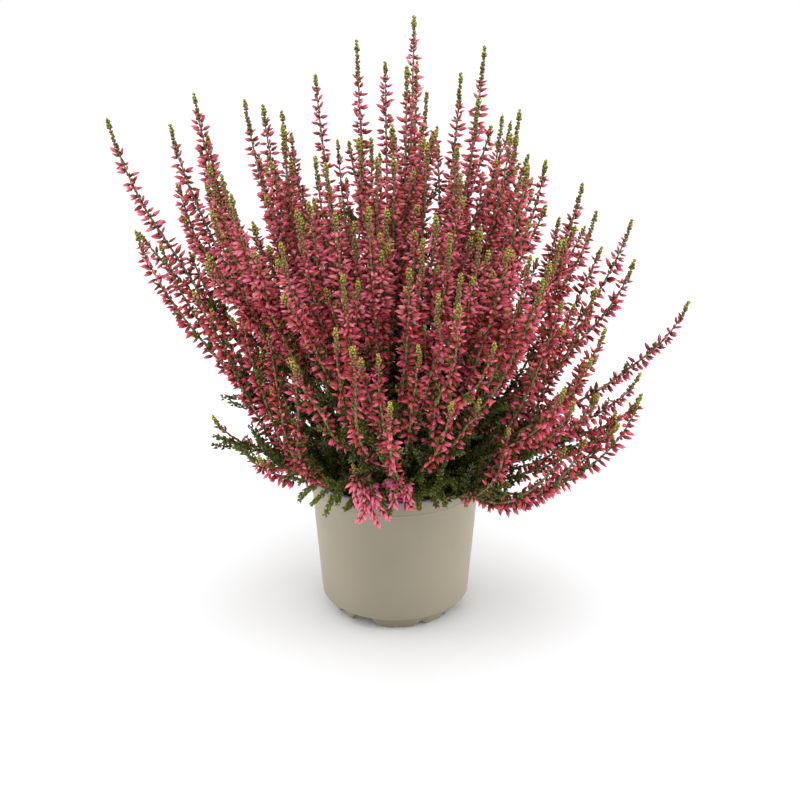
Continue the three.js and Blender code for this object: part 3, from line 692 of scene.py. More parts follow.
def pointing(angle, tilt=math.pi / 2):
    """The direction at an angle round the pot's axis, leaning by tilt from upright."""
    flat = math.sin(tilt)
    return np.array([math.cos(angle) * flat, math.sin(angle) * flat, math.cos(tilt)])


def radial(ways, angles):
    """Directions square to the ways, at angles round them."""
    first = unit(np.cross(ways, (0.31, 0.52, 0.21)))
    second = np.cross(ways, first)
    return first * np.cos(angles)[:, None] + second * np.sin(angles)[:, None]


def turns_round(count, whorl, scatter):
    """Angles round a stem: whorls of equal parts, each set between those of the last."""
    index = np.arange(count)
    turn = (index // whorl * 0.5 + index % whorl) * (math.tau / whorl)
    return turn + rng.uniform(0, math.tau) + rng.normal(0, scatter, count)


# ---- the flower buds
# Closed buds of four pink sepals, six millimetres long, each on a short dark calyx in the
# axil of a scale leaf. They stand in close tiers of five up the stem and hang to its lower
# side where it leans. Here and there one has parted at the tip.

BUD_LENGTH = 5.5
BUD_WIDTH = 2.1
SLIM_BUD_LENGTH = 6.1
SLIM_BUD_WIDTH = 2.15
TIER_GAP = 5.6
BUDS_ROUND = 5

LOWEST_BUD = 108
CROWDED_RADIUS = 92
CROWDED_LIFT = 150
HIGH_BUDS = 215
TOP_BARE = 10
TOP_BARE_SPREAD = 14
LEAST_BARE = 12
RIM_BARE = 16
RIM_BARE_RIGHT = 32

# The rows of the map: ordinary shades, then pale ones for the high and the hanging buds,
# which are painted paler as painted light.
BUD_ROWS = 16
PALE_FROM = BUD_ROWS // 2
CALYX_AND_SHADE_DARK = (0.040, 0.032, 0.010)
CALYX_AND_SHADE_BROWN = (0.15, 0.070, 0.026)

bud_pink, shader, start = finish_of("bud sepals", Roughness=0.55, Specular_IOR_Level=0.12)
_, along, across = own_map(start)
across = across * BUD_ROWS
row = across.maths("FLOOR", across)
ridge = across - row
tone = row.maths("FRACT", row * 7.31)
pallor = row.maths("FRACT", row * 3.77)
high = row.step(PALE_FROM - 1, PALE_FROM)
brightness = row * (2 / BUD_ROWS) - high
warm_deep = brightness.blend((0.19, 0.020, 0.009), (0.74, 0.042, 0.062))
cool_deep = brightness.blend((0.18, 0.014, 0.010), (0.71, 0.028, 0.098))
warm_pale = brightness.blend((0.48, 0.080, 0.060), (0.98, 0.345, 0.370))
cool_pale = brightness.blend((0.48, 0.058, 0.092), (0.95, 0.235, 0.400))
deep = tone.blend(warm_deep, cool_deep)
pale = tone.blend(warm_pale, cool_pale)
# Sepals are painted paler along their ridges and darker in their grooves, as painted highlight
# and painted shade. They grow paler towards the tip, and the pale rows are painted paler still,
# as painted light.
light = ridge.step(0.1, 0.95) * 0.4 + along.step(0.4, 0.95) * 0.58 + high * 0.35
sepal = (light * (0.66 + pallor * 0.7)).blend(deep, pale)
calyx_and_shade = tone.blend(CALYX_AND_SHADE_DARK, CALYX_AND_SHADE_BROWN)
# The dark calyx covers each bud's foot and fades out by nearly half its length: the calyx's own
# colour, and painted shade over the bud's lower part.
feed(shader, "Base Color", along.step(0.2, 0.46).blend(calyx_and_shade, sepal))


class Form:
    """A small shape that is planted many times over: what its bmesh holds, as arrays."""

    def __init__(self, bm, across_of):
        bmesh.ops.recalc_face_normals(bm, faces=bm.faces)
        bm.verts.index_update()
        loops = [loop for face in bm.faces for loop in face.loops]
        self.points = np.array([corner.co[:] for corner in bm.verts])
        self.corners = np.array([loop.vert.index for loop in loops])
        self.sides = np.array([len(face.verts) for face in bm.faces])
        along = [0.03 + 0.94 * min(1, max(0, loop.vert.co.z)) for loop in loops]
        self.uv = np.array([along, [across_of(loop.vert) for loop in loops]]).T
        bm.free()


class Rows:
    """Where the copies of a form stand: place, axis, outer face, length, width, shade."""

    def __init__(self):
        self.rows = []

    def add(self, place, axis, face, length, width, shade):
        count = len(place)
        sizes = [np.broadcast_to(value, count)[:, None] for value in (length, width, shade)]
        self.rows.append(np.concatenate([place, axis, face, *sizes], axis=1))

    def planted(self, forms, shade_to_v):
        """One mesh of all the copies, each of the next of the forms in turn."""
        rows = np.concatenate(self.rows)
        points, corners, sides, uvs, first = [], [], [], [], 0
        for turn, form in enumerate(forms):
            own = rows[turn::len(forms)]
            axis = unit(own[:, 3:6])
            face = unit(own[:, 6:9] - axis * (own[:, 6:9] * axis).sum(1, keepdims=True))
            side = np.cross(face, axis)
            x, y, z = (form.points[None, :, k, None] for k in range(3))
            width, length = own[:, 10, None, None], own[:, 9, None, None]
            spots = own[:, None, 0:3] + width * (x * side[:, None] + y * face[:, None])
            spots = spots + length * z * axis[:, None]
            points.append(spots.reshape(-1, 3))
            offsets = first + np.arange(len(own)) * len(form.points)
            corners.append((form.corners[None] + offsets[:, None]).ravel())
            sides.append(np.tile(form.sides, len(own)))
            uv = np.repeat(form.uv[None], len(own), axis=0)
            uv[:, :, 1] = shade_to_v(own[:, 11, None], uv[:, :, 1])
            uvs.append(uv.reshape(-1, 2))
            first += len(own) * len(form.points)
        points, corners, sides, uvs = map(np.concatenate, (points, corners, sides, uvs))
        mesh = bpy.data.meshes.new("planted")
        mesh.vertices.add(len(points))
        mesh.vertices.foreach_set("co", (points * MM).ravel())
        mesh.loops.add(len(corners))
        mesh.loops.foreach_set("vertex_index", corners.astype(np.int32))
        mesh.polygons.add(len(sides))
        starts = np.concatenate([[0], np.cumsum(sides)[:-1]])
        mesh.polygons.foreach_set("loop_start", starts.astype(np.int32))
        mesh.update(calc_edges=True)
        mesh.uv_layers.new(name="OFBake")
        mesh.uv_layers[0].data.foreach_set("uv", uvs.ravel())
        return mesh


def bud_form(rings, sides, tip=1.0, drop=0.0, groove_shade=1.0):
    """A bud one long: its corners lie by turns on a sepal's ridge and between two sepals.

    Each ring is its height and its radius on a ridge and between. The upper ring drops
    between the sepals, and the last argument is how much darker the grooves between the
    sepals are painted, as painted shade.
    """
    bm = bmesh.new()
    bmesh.ops.create_uvsphere(bm, u_segments=sides, v_segments=3, radius=1)
    ridges = {}
    for corner in bm.verts:
        level = round((1 - math.acos(max(-1, min(1, corner.co.z))) / math.pi) * 3)
        between = round(math.atan2(corner.co.y, corner.co.x) / (math.tau / sides)) % 2
        if level in (0, 3):
            corner.co = (0, 0, tip if level else 0)
            ridges[corner.index] = 0.5
            continue
        height, ridge, valley = rings[level - 1]
        flat = Vector((corner.co.x, corner.co.y, 0)).normalized()
        corner.co = flat * (valley if between else ridge)
        corner.co.z = height - (drop * between if level == 2 else 0)
        ridges[corner.index] = 1.0 - groove_shade * between
    return Form(bm, lambda corner: 0.12 + 0.76 * ridges[corner.index])


CLOSED_BUD = [(0.34, 0.48, 0.38), (0.7, 0.34, 0.22)]
OPEN_BUD = [(0.34, 0.46, 0.36), (0.96, 0.50, 0.20)]
SLIM_BUD = [(0.32, 0.48, 0.48), (0.7, 0.37, 0.37)]

slim_bud = bud_form(SLIM_BUD, 4, groove_shade=0.7)
bud_forms = [
    bud_form(CLOSED_BUD, 8), slim_bud, bud_form(CLOSED_BUD, 8, 1.05, 0.04), slim_bud,
    bud_form(CLOSED_BUD, 8, 0.95), slim_bud, slim_bud, bud_form(OPEN_BUD, 8, 0.66, 0.28),
]


def bud_rows(shade, local):
    """A bud's place across the map: its own row, and the place of a corner in that."""
    return (np.floor(shade) + local) / BUD_ROWS


def flower_zone(path, kind):
    """Where the buds start and end along a spike: they stop where the bush is crowded."""
    tip = path.points[-1]
    if kind == "hanging":
        return 4, path.length - 1
    if kind == "rim":
        low = RIM_BARE_RIGHT if tip[0] > 60 else RIM_BARE
    else:
        out = np.hypot(path.points[:, 0], path.points[:, 1])
        lift = CROWDED_LIFT * np.clip(1 - out / CROWDED_RADIUS, 0, 1)
        bare = path.run[path.points[:, 2] < LOWEST_BUD + lift]
        low = max(bare.max(initial=0), LEAST_BARE)
    spread = TOP_BARE_SPREAD * (1 if tip[2] > HIGH_BUDS + 20 else 0.3)
    bare_top = TOP_BARE + spread * (abs(tip.sum()) * 0.6885 % 1)
    top = path.length - bare_top * (1 if kind == "main" else 0.5)
    return min(low, top - 25), top


def tiers_on(path, kind, low, top):
    """How far along a spike its tiers of buds stand: closer together high and far out."""
    tiers, run = [], top
    while run > low:
        tiers.append(run)
        sparser = max(0, (top - run) / (top - low) - 0.7) / 0.3
        gap = TIER_GAP * (1 + 0.5 * sparser) * (0.5 if kind == "hanging" else 1)
        spot = path.at(run)[0][0]
        if kind == "rim" or spot[2] > HIGH_BUDS - 25 or from_axis(spot) > 120:
            gap *= 0.8 if from_axis(spot) < 90 else 0.68
        run -= gap * rng.uniform(0.8, 1.2)
    return tiers


def buds_on(path, kind):
    """The places, axes, outer faces, sizes and shades of the buds of one spike."""
    low, top = flower_zone(path, kind)
    hangs = kind == "hanging"
    tiers = tiers_on(path, kind, low, top)
    runs = np.repeat(tiers, BUDS_ROUND) + rng.uniform(-1, 1, BUDS_ROUND * len(tiers))
    count = len(runs)
    turn = turns_round(count, BUDS_ROUND, 0.5)
    place, way = path.at(runs)
    out = radial(way, turn)
    lean = np.linalg.norm(way[:, :2], axis=1)
    swung = (out[:, 2] > 0.1) & (rng.random(count) < (0 if hangs else 0.6) * lean)
    out = np.where(swung[:, None], -out, out)

    # The youngest buds, near the top, are smaller and lie closer to the stem.
    grown = np.clip((top - runs) / 14, 0, 1)
    tilt = np.radians(48 + 24 * grown + rng.normal(0, 16, count) - (20 if hangs else 0))
    axis = way * np.cos(tilt)[:, None] + out * np.sin(tilt)[:, None]
    axis[:, 2] -= (1.1 if hangs else 0.2) * lean + 0.08
    size = (0.66 + 0.34 * grown) * np.clip(rng.normal(1, 0.13, count), 0.6, 1.25)
    outer = np.clip((np.hypot(place[:, 0], place[:, 1]) - 50) / 70, 0, 1)
    size = size * (0.95 + 0.1 * outer) * (1.1 if hangs else 1)

    height = place[:, 2]
    high = height > HIGH_BUDS
    # A bud's shade picks its row of the map: a random spread, with painted light on top of it,
    # brighter low down and the pale rows for the high and the hanging buds.
    shade = np.where(high, 4.0, 8.2 if hangs else 3.2) + 1.4 * np.clip(1.6 - height / 190, 0, 1)
    shade = np.clip(shade + rng.normal(0, 2.6, count), 0, PALE_FROM - 1)
    shade = shade + np.where(high | hangs, PALE_FROM, 0)
    front = (height < 175) & (np.abs(place[:, 0]) < 65) & (place[:, 1] < 0)
    lowest = np.clip((top - runs) / (top - low) - 0.75, 0, 0.25) / 0.25
    sparse = np.where(high, 0.08, 0.16) + 0.3 * lowest + 0.15 * front
    keep = rng.random(count) > (0 if hangs else 1) * sparse
    return [part[keep] for part in (place, unit(axis), out, size, shade)]


# ---- the scale leaves
# Tiny keeled leaves: pressed to the flowering stems, one under every bud, and dense and dark
# on the short leafy shoots that fill the bush between the stems. Every spike ends in a
# bright knobbly tip of green beads, its unopened buds.

# Leaf shades run from the dark inside of the bush, which is painted shade, over a painted
# sunlit green, and brown, to the tips.
LEAF_SHADES = [
    # shade, colour at the leaf's foot (darker, as painted shade), colour at its point
    (0.0, (0.012, 0.012, 0.004), (0.040, 0.040, 0.012)),
    (0.35, (0.125, 0.155, 0.030), (0.40, 0.45, 0.110)),
    (0.5, (0.110, 0.056, 0.024), (0.34, 0.205, 0.110)),
    (0.75, (0.105, 0.076, 0.018), (0.32, 0.255, 0.075)),
    (1.0, (0.13, 0.13, 0.012), (0.61, 0.61, 0.080)),
]

leaf_green, shader, start = finish_of("scale leaves", Roughness=0.6, Specular_IOR_Level=0.15)
_, along, painted_shade_and_age = own_map(start)
shaded_foot_colour, point_colour = (
    painted_shade_and_age.node(
        "ShaderNodeValToRGB", {"stops": [(stop[0], stop[side]) for stop in LEAF_SHADES]},
        {"Fac": painted_shade_and_age},
    )
    for side in (1, 2)
)
# Each leaf and bead is painted darker at its foot than at its point, as painted shade.
feed(shader, "Base Color", along.step(0.35, 0.95).blend(shaded_foot_colour, point_colour))


def bead_form():
    """An unopened green bud: a plump bead one long, as they sit in four rows at a tip."""
    bm = bmesh.new()
    bmesh.ops.create_uvsphere(bm, u_segments=4, v_segments=2, radius=0.5)
    for corner in bm.verts:
        corner.co.z = 0.58 if abs(corner.co.z) < 0.25 else corner.co.z + 0.5
    return Form(bm, lambda corner: 0.5 + corner.co.x)


def needle_form():
    """A plain three-sided leaf, broad at its foot."""
    bm = bmesh.new()
    bmesh.ops.create_cone(
        bm, cap_ends=True, cap_tris=False, segments=3, radius1=0.55, radius2=0, depth=1
    )
    bmesh.ops.translate(bm, vec=(0, 0, 0.5), verts=bm.verts)
    bmesh.ops.remove_doubles(bm, verts=bm.verts, dist=1e-5)
    return Form(bm, lambda corner: 0.5 + corner.co.x)


bead, needle = bead_form(), needle_form()

# How leaves or beads sit: the gap between whorls, how many in one, their lean off the stem
# and its scatter in degrees, their length and width, and how far off the stem they start.
Habit = namedtuple("Habit", "gap whorl spread scatter length width off")
UNDER_BUDS = Habit(3.4, 2, 30, 9, 2.6, 1.7, 0.5)
ON_BARE_STEM = Habit(3.4, 3, 48, 12, 3.2, 2.1, 0.9)
NECK_BEADS = Habit(1.85, 4, 34, 5, 2.4, 1.8, 0.3)
TIP_BEADS = Habit(1.65, 4, 32, 4, 2.4, 2.0, 0.3)
ON_SHOOT = Habit(2.1, 3, 46, 14, 2.8, 2.4, 0.75)
ON_RIM_SHOOT = ON_SHOOT._replace(gap=1.5)


def leaves_on(rows, path, low, top, habit, shades):
    """Whorls of leaves along a stem: shades run from its low end to its top."""
    nodes = np.arange(low, top, habit.gap)
    if len(nodes) == 0:
        return
    count = habit.whorl * len(nodes)
    runs = np.repeat(nodes, habit.whorl) + rng.uniform(-0.2, 0.2, count) * habit.gap
    share = np.clip((runs - low) / max(top - low, 1), 0, 1)
    turn = turns_round(count, habit.whorl, 0.15)
    place, way = path.at(runs)
    out = radial(way, turn)
    tilt = habit.spread * (1 - 0.4 * share) + rng.normal(0, habit.scatter, count)
    tilt = np.radians(tilt)[:, None]
    axis = way * np.cos(tilt) + out * np.sin(tilt)
    closing = np.clip(0.65 + (top - runs) / (habit.gap * 9), 0, 1)
    size = rng.normal(1, 0.1, count) * closing
    shade = shades[0] + (shades[1] - shades[0]) * share + rng.normal(0, 0.05, count)
    away = out * habit.off * rng.uniform(0.4, 1.6, count)[:, None]
    rows.add(place + away, axis, out, habit.length * size, habit.width * size, shade)


def shade_rows(shade, local):
    """A leaf's place across the map: its shade, and a little to either side of it."""
    return np.clip(shade + (local - 0.5) * 0.05, 0.02, 0.98)


def dress_shoot(rows, twigs, points, shades, habit=ON_SHOOT):
    """Leaves for a shoot along points are added to the rows, and its twig to the twigs."""
    path = Path(points)
    twigs.append((points, np.linspace(0.5, 0.3, len(points))))
    leaves_on(rows, path, 0.8, path.length, habit, shades)


def side_shoot(rows, twigs, base, start, end, length, shades):
    """A leafy side shoot that sets out from base along start and ends along end."""
    t = np.linspace(0, 1, 3)[:, None]
    points = base + length * (start * t + (end - start) * t ** 2 / 2)
    dress_shoot(rows, twigs, points, shades)


SIDE_SHOOT_GAP = 22
LEAFY_BELOW = 200
BASAL_SHOOT_GAP = 12


def basal_shoots(rows, twigs, path, low, top):
    """Longer dark shoots on the bare foot of a stem, leaning out and up."""
    tip = path.points[-1]
    # Shoots on stems near the middle of the bush are painted darker, as painted shade.
    darkest = 0.08 if from_axis(tip) < 80 else 0.16
    gap = BASAL_SHOOT_GAP * (0.75 if tip[0] < -40 or tip[1] > 0 else 1)
    runs = np.arange(low, top, gap) + rng.uniform(0, 4)
    for place in path.at(runs)[0]:
        outward = np.array([place[0], place[1], 0.0]) / 40 + rng.normal(0, 0.8, 3)
        outward[2] = 0
        tilt = math.radians(rng.uniform(30, 82))
        start = unit(outward) * math.sin(tilt) + UP * math.cos(tilt)
        end = unit(start + UP * rng.uniform(-0.3, 0.8))
        shade = rng.uniform(0, darkest)
        length = rng.uniform(14, 32)
        side_shoot(rows, twigs, place, start, end, length, (shade, shade + 0.1))


def leafy_shoots(rows, twigs, path, low, top):
    """Short shoots among the buds, as far up as the bush is leafy."""
    gap = SIDE_SHOOT_GAP * (0.6 if path.points[-1, 0] < -40 else 1)
    for run in np.arange(low + 8, top - 22, gap):
        run = run + rng.uniform(-3, 3)
        place, way = path.at(run)
        if place[0, 2] > LEAFY_BELOW:
            continue
        out = radial(way, rng.uniform(0, math.tau, 1))
        if out[0, 2] < 0 and rng.random() < 0.8:
            out = -out
        tilt = math.radians(rng.uniform(38, 62))
        start = (way * math.cos(tilt) + out * math.sin(tilt))[0]
        end = unit(start + way[0] * 0.7)
        share = (run - low) / (top - low)
        # Shoots low in the flowering zone are painted darker than those higher up, as painted
        # shade.
        shade = 0.06 + 0.18 * share + rng.uniform(-0.05, 0.05)
        length = rng.uniform(6, 12) * (1 - 0.4 * share)
        side_shoot(rows, twigs, place[0], start, end, length, (shade, shade + 0.15))


# ---- the sprays
# Each spray grows from one woody stem. Besides its tall spikes it bears shorter twigs, which
# flower too: beside the tall spikes, on the lower stems and, lowest, out over the rim. Its
# stems, buds, tips and leaves are four pieces.

# The lowest twigs: kind, spray counted from 0, and the places that the twig passes.
LOW_TWIGS = [
    ("rim", 37, [(28, -30, 85), (42, -44, 99), (57, -60, 94), (73, -64, 96), (89, -64, 105),
     (107, -60, 114), (122, -57, 125), (134, -55, 140), (142, -52, 158)]),
    ("rim", 37, [(34, -26, 85), (50, -38, 103), (66, -44, 104), (82, -44, 109), (99, -42, 116),
     (114, -40, 124), (124, -38, 131), (135, -36, 140)]),
    ("rim", 37, [(36, -18, 85), (52, -26, 102), (67, -30, 104), (89, -30, 110), (102, -28, 120),
     (113, -26, 136), (122, -25, 152)]),
    ("rim", 37, [(32, -28, 85), (46, -42, 101), (60, -54, 100), (78, -58, 101), (96, -56, 108),
     (112, -52, 120), (124, -48, 134), (130, -46, 148)]),
    ("rim", 36, [(27, -32, 85), (40, -48, 99), (56, -60, 96), (72, -66, 100), (88, -68, 108),
     (102, -66, 122), (110, -64, 138)]),
    ("rim", 36, [(30, -30, 85), (46, -44, 104), (62, -55, 119), (78, -58, 134), (92, -58, 150),
     (103, -56, 167), (108, -54, 182)]),
    ("rim", 36, [(28, -34, 85), (42, -52, 98), (60, -66, 98), (76, -70, 106), (90, -70, 120),
     (98, -68, 134)]),
    ("rim", 35, [(24, -36, 85), (36, -56, 98), (48, -68, 104), (58, -74, 118), (62, -76, 134),
     (64, -78, 150)]),
    ("rim", 41, [(-36, -12, 85), (-52, -17, 99), (-64, -19, 102), (-74, -20, 115),
     (-84, -22, 137), (-94, -22, 158), (-102, -22, 178), (-110, -20, 197)]),
    ("rim", 41, [(-34, -20, 85), (-50, -28, 100), (-62, -32, 110), (-70, -35, 128),
     (-76, -36, 148), (-82, -36, 169), (-86, -36, 188), (-88, -36, 202)]),
    ("rim", 41, [(-30, -26, 85), (-44, -38, 100), (-53, -50, 112), (-56, -58, 130),
     (-55, -62, 153), (-56, -62, 169), (-58, -62, 186)]),
    ("rim", 41, [(-32, -24, 85), (-48, -34, 102), (-58, -40, 112), (-64, -45, 130),
     (-67, -48, 155), (-70, -48, 180), (-72, -48, 196)]),
    ("rim", 41, [(-34, -22, 85), (-49, -31, 98), (-60, -38, 101), (-70, -43, 106),
     (-80, -46, 112), (-88, -48, 122)]),
    ("rim", 38, [(6, -36, 85), (8, -54, 101), (8, -65, 97), (5, -73, 108), (0, -80, 126),
     (-6, -87, 148), (-13, -93, 171), (-19, -97, 190), (-23, -98, 202)]),
    ("hanging", 40, [(-10, -40, 86), (-14, -56, 106), (-14, -69, 111), (-10, -75, 103),
     (-4, -77, 95)]),
    ("hanging", 40, [(-16, -40, 86), (-20, -56, 108), (-22, -67, 114), (-22, -73, 107),
     (-18, -76, 98)]),
    ("hanging", 40, [(-13, -40, 86), (-17, -57, 107), (-18, -70, 111), (-15, -77, 102),
     (-10, -79, 92)]),
    ("side", 40, [(-14, -42, 86), (-18, -52, 100), (-21, -58, 108), (-23, -62, 116),
     (-24, -64, 122)]),
    ("hanging", 38, [(3, -40, 86), (5, -56, 106), (6, -67, 113), (7, -73, 108), (9, -76, 101)]),
    ("hanging", 38, [(-2, -40, 86), (-1, -56, 108), (0, -68, 114), (0, -74, 109),
     (-1, -77, 103)]),
]

# The same on the far side, by a rule: distance from the axis and height along the twig.
FAR_RIM_COURSE = [(34, 85), (49, 101), (60, 104), (73, 110), (85, 123), (95, 141), (102, 160)]
FAR_RIM_TURNS = (-0.16, 0.14)

# Twigs that fill the crown between the tall spikes: spray, share of its stem, and tip.
INFILL_TIPS = [
    (21, 0.42, (36, -10, 300)), (21, 0.5, (36, -44, 288)), (24, 0.5, (57, -30, 296)),
    (11, 0.5, (24, -20, 309)), (6, 0.12, (-44, -56, 189)), (4, 0.14, (-38, -36, 182)),
    (3, 0.08, (-82, -30, 181)), (41, 0.2, (-74, -40, 164)), (41, 0.3, (-92, -20, 151)),
    (3, 0.12, (-52, -50, 194)), (29, 0.12, (58, -50, 186)),
]

HANGING_SAG = (-2, -3, -2)
TALL = 255
OUTER = 75
UPPER_CLIMB = 0.35
LOWER_CLIMB = 0.4
COURSE_STEPS = 5
YOUNG_BARK_REACH = (0.55, 0.4)


def far_rim_twig(tip, aside):
    """A low flowering twig towards where a far spray leans, turned aside a little."""
    toward, lift = math.atan2(tip[1], tip[0]), rng.uniform(-8, 42)
    first, last = FAR_RIM_COURSE[0][0], FAR_RIM_COURSE[-1][0]
    places = []
    for out, height in FAR_RIM_COURSE:
        share = (out - first) / (last - first)
        turn = toward + aside * share
        places.append((out * math.cos(turn), out * math.sin(turn), height + lift * share))
    return Path(np.array(places), COURSE_STEPS)


def branch(path, run, tip, climb):
    """A twig that leaves a stem along its way and ends at tip, climbing by climb."""
    start, way = path.at(run)
    tip = np.array(tip, float)
    end = unit(unit(tip - start[0]) + UP * climb)
    return Path(course(start[0], way[0], tip, end)[::2])


def upper_spike(path, share):
    """A shorter flowering twig beside the upper part of a tall spike."""
    run = share * path.length
    target, way = path.at(min(run + rng.uniform(58, 86), path.length - 22))
    out = radial(way, rng.uniform(0, math.tau, 1))[0]
    out = out + 0.5 * np.array([*unit(target[0, :2]), 0.0])
    return branch(path, run, target[0] + unit(out) * rng.uniform(10, 16), UPPER_CLIMB)


def lower_spike(path, share):
    """A flowering twig that rises steeply from the lower part of a leaning stem."""
    run = share * path.length
    start, way = path.at(run)
    rise = unit(way[0] + UP * rng.uniform(0.5, 1.0))
    aside = rng.normal(0, 9, 3) * (1, 1, 0)
    return branch(path, run, start[0] + rise * rng.uniform(85, 135) + aside, LOWER_CLIMB)


def side_spikes(spray, path, rooted):
    """The shorter twigs that one spike bears: high on the tall ones, low on the outer."""
    tip = path.points[-1]
    twigs = []
    if tip[2] > TALL:
        twigs.append(upper_spike(path, rng.uniform(0.4, 0.6)))
        if rooted or spray >= len(sprays) - FAR_SECTORS or tip[0] < -60:
            twigs.append(upper_spike(path, rng.uniform(0.35, 0.55)))
    outer = from_axis(tip) > OUTER and tip[1] > -95 and tip[0] < 160
    if outer and path.length > 140:
        twigs.append(lower_spike(path, rng.uniform(0.1, 0.2)))
        if rooted and tip[0] < 105:
            twigs.append(lower_spike(path, rng.uniform(0.22, 0.36)))
        if rooted:
            twigs.append(lower_spike(path, rng.uniform(0.2, 0.4)))
    return twigs


def flowering_twigs(spray):
    """Every twig of a spray that flowers, as its path and kind, and its stems' courses."""
    own = [spike for spike in spikes if spike["spray"] == spray]
    hanging = len(own) == 1 and sprays[spray][0][2] < HANGING_BELOW
    grown, extra, courses = [], [], []
    for spike in own:
        path, rooted = spike["path"], spike["main"] is None
        if hanging:
            drop = path.points[-1] + np.outer((0.5, 1), HANGING_SAG)
            path = Path(np.concatenate([path.points, drop]))
        points, radii = path.points, stem_radii(path, rooted)
        if rooted:
            points = np.concatenate([[[*points[0, :2], SEAT_LEVEL]], points])
            radii = np.concatenate([[STEM_RADIUS], radii])
        courses.append((points, radii))
        grown.append((path, "hanging" if hanging else "main"))
        if not hanging:
            extra += [(twig, "side") for twig in side_spikes(spray, path, rooted)]
    for parent, share, tip in INFILL_TIPS:
        if parent == spray:
            trunk = own[0]["path"]
            extra.append((branch(trunk, share * trunk.length, tip, UPPER_CLIMB), "side"))
    if spray >= len(sprays) - FAR_SECTORS:
        for aside in FAR_RIM_TURNS:
            extra.append((far_rim_twig(sprays[spray][0], aside), "rim"))
    for kind, parent, places in LOW_TWIGS:
        if parent == spray:
            extra.append((Path(np.array(places, float), COURSE_STEPS), kind))
    courses += [(path.points, stem_radii(path)) for path, kind in extra]
    return grown + extra, courses


def dress(path, kind, buds, high_buds, beads, needles, twigs):
    """Adds one twig's buds, leaves, beads and leafy shoots to the rows."""
    place, axis, out, size, shade = buds_on(path, kind)
    for rows, part, length, width in (
        (buds, shade < PALE_FROM, BUD_LENGTH, BUD_WIDTH),
        (high_buds, shade >= PALE_FROM, SLIM_BUD_LENGTH, SLIM_BUD_WIDTH),
    ):
        rows.add((place + out * 0.5)[part], axis[part], out[part],
                 (length * size)[part], (width * size)[part], shade[part])
    low, top = flower_zone(path, kind)
    leaves_on(needles, path, low, top - 3, UNDER_BUDS, (0.36, 0.56))
    # Leaves on a stem's bare foot are painted dark, as painted shade low in the bush.
    leaves_on(needles, path, 4, min(low, 60), ON_BARE_STEM, (0.04, 0.26))
    if kind != "hanging":
        brightest = 1.0 + 0.1 * np.clip((230 - path.points[-1, 2]) / 40, 0, 1)
        neck = path.length - 7
        leaves_on(beads, path, top - 2, neck, NECK_BEADS, (0.6, 0.76))
        leaves_on(beads, path, neck, path.length - 0.8, TIP_BEADS, (0.76, brightest))
    if kind == "main" or (kind == "rim" and low > 20):
        basal_shoots(needles, twigs, path, 5 if kind == "main" else 14, low + 12)
    leafy_shoots(needles, twigs, path, low, top)


for spray in range(len(sprays)):
    name = f"spray_{spray + 1:02d}"
    flowering, courses = flowering_twigs(spray)
    buds, high_buds, beads, needles, twigs = Rows(), Rows(), Rows(), Rows(), []
    for path, kind in flowering:
        dress(path, kind, buds, high_buds, beads, needles, twigs)
    pieces = [(stems_piece(name, courses, twigs, YOUNG_BARK_REACH), "stem")]
    for part, groups, rule, material, kind in (
        ("buds", [(buds, bud_forms), (high_buds, [slim_bud])], bud_rows, bud_pink, "bud"),
        ("tips", [(beads, [bead])], shade_rows, leaf_green, "leaf"),
        ("needles", [(needles, [needle])], shade_rows, leaf_green, "leaf"),
    ):
        bm = bmesh.new()
        for rows, forms in groups:
            if any(map(len, rows.rows)):
                bm.from_mesh(rows.planted(forms, rule))
        if bm.faces:
            pieces.append((finished(bm, f"{name}_{part}", material, part != "needles"), kind))
    for piece, kind in pieces:
        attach(piece, "root")
        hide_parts(name)

# ---- the tufts at the rim
# Leafy shoots without flowers that root in the medium by the wall of the pot. Some stay
# upright among the stems, and the others arch over the rim and spill down outside it. One
# short stem holds each tuft.

TUFTS = 5
TUFT_FOOT = 45
TRUNK_TOP = MEDIUM_TOP + 10
TRUNK_THIN = 0.9
ROOT_LEVEL = MEDIUM_TOP - 2
INNER_SHOOTS = 18
INNER_STAND = (26, 47)
INNER_LENGTH = (20, 56)
# Inner shoots are painted darker than those that arch over the rim, as painted shade inside the
# tuft.
INNER_SHADE = (0.1, 0.28)
RIM_SHOOTS = 16
RIM_STAND = (38, 47)
RIM_CREST = (52, 56)
RIM_REACH = (59, 76)
RIM_SHADE = (0.2, 0.32)

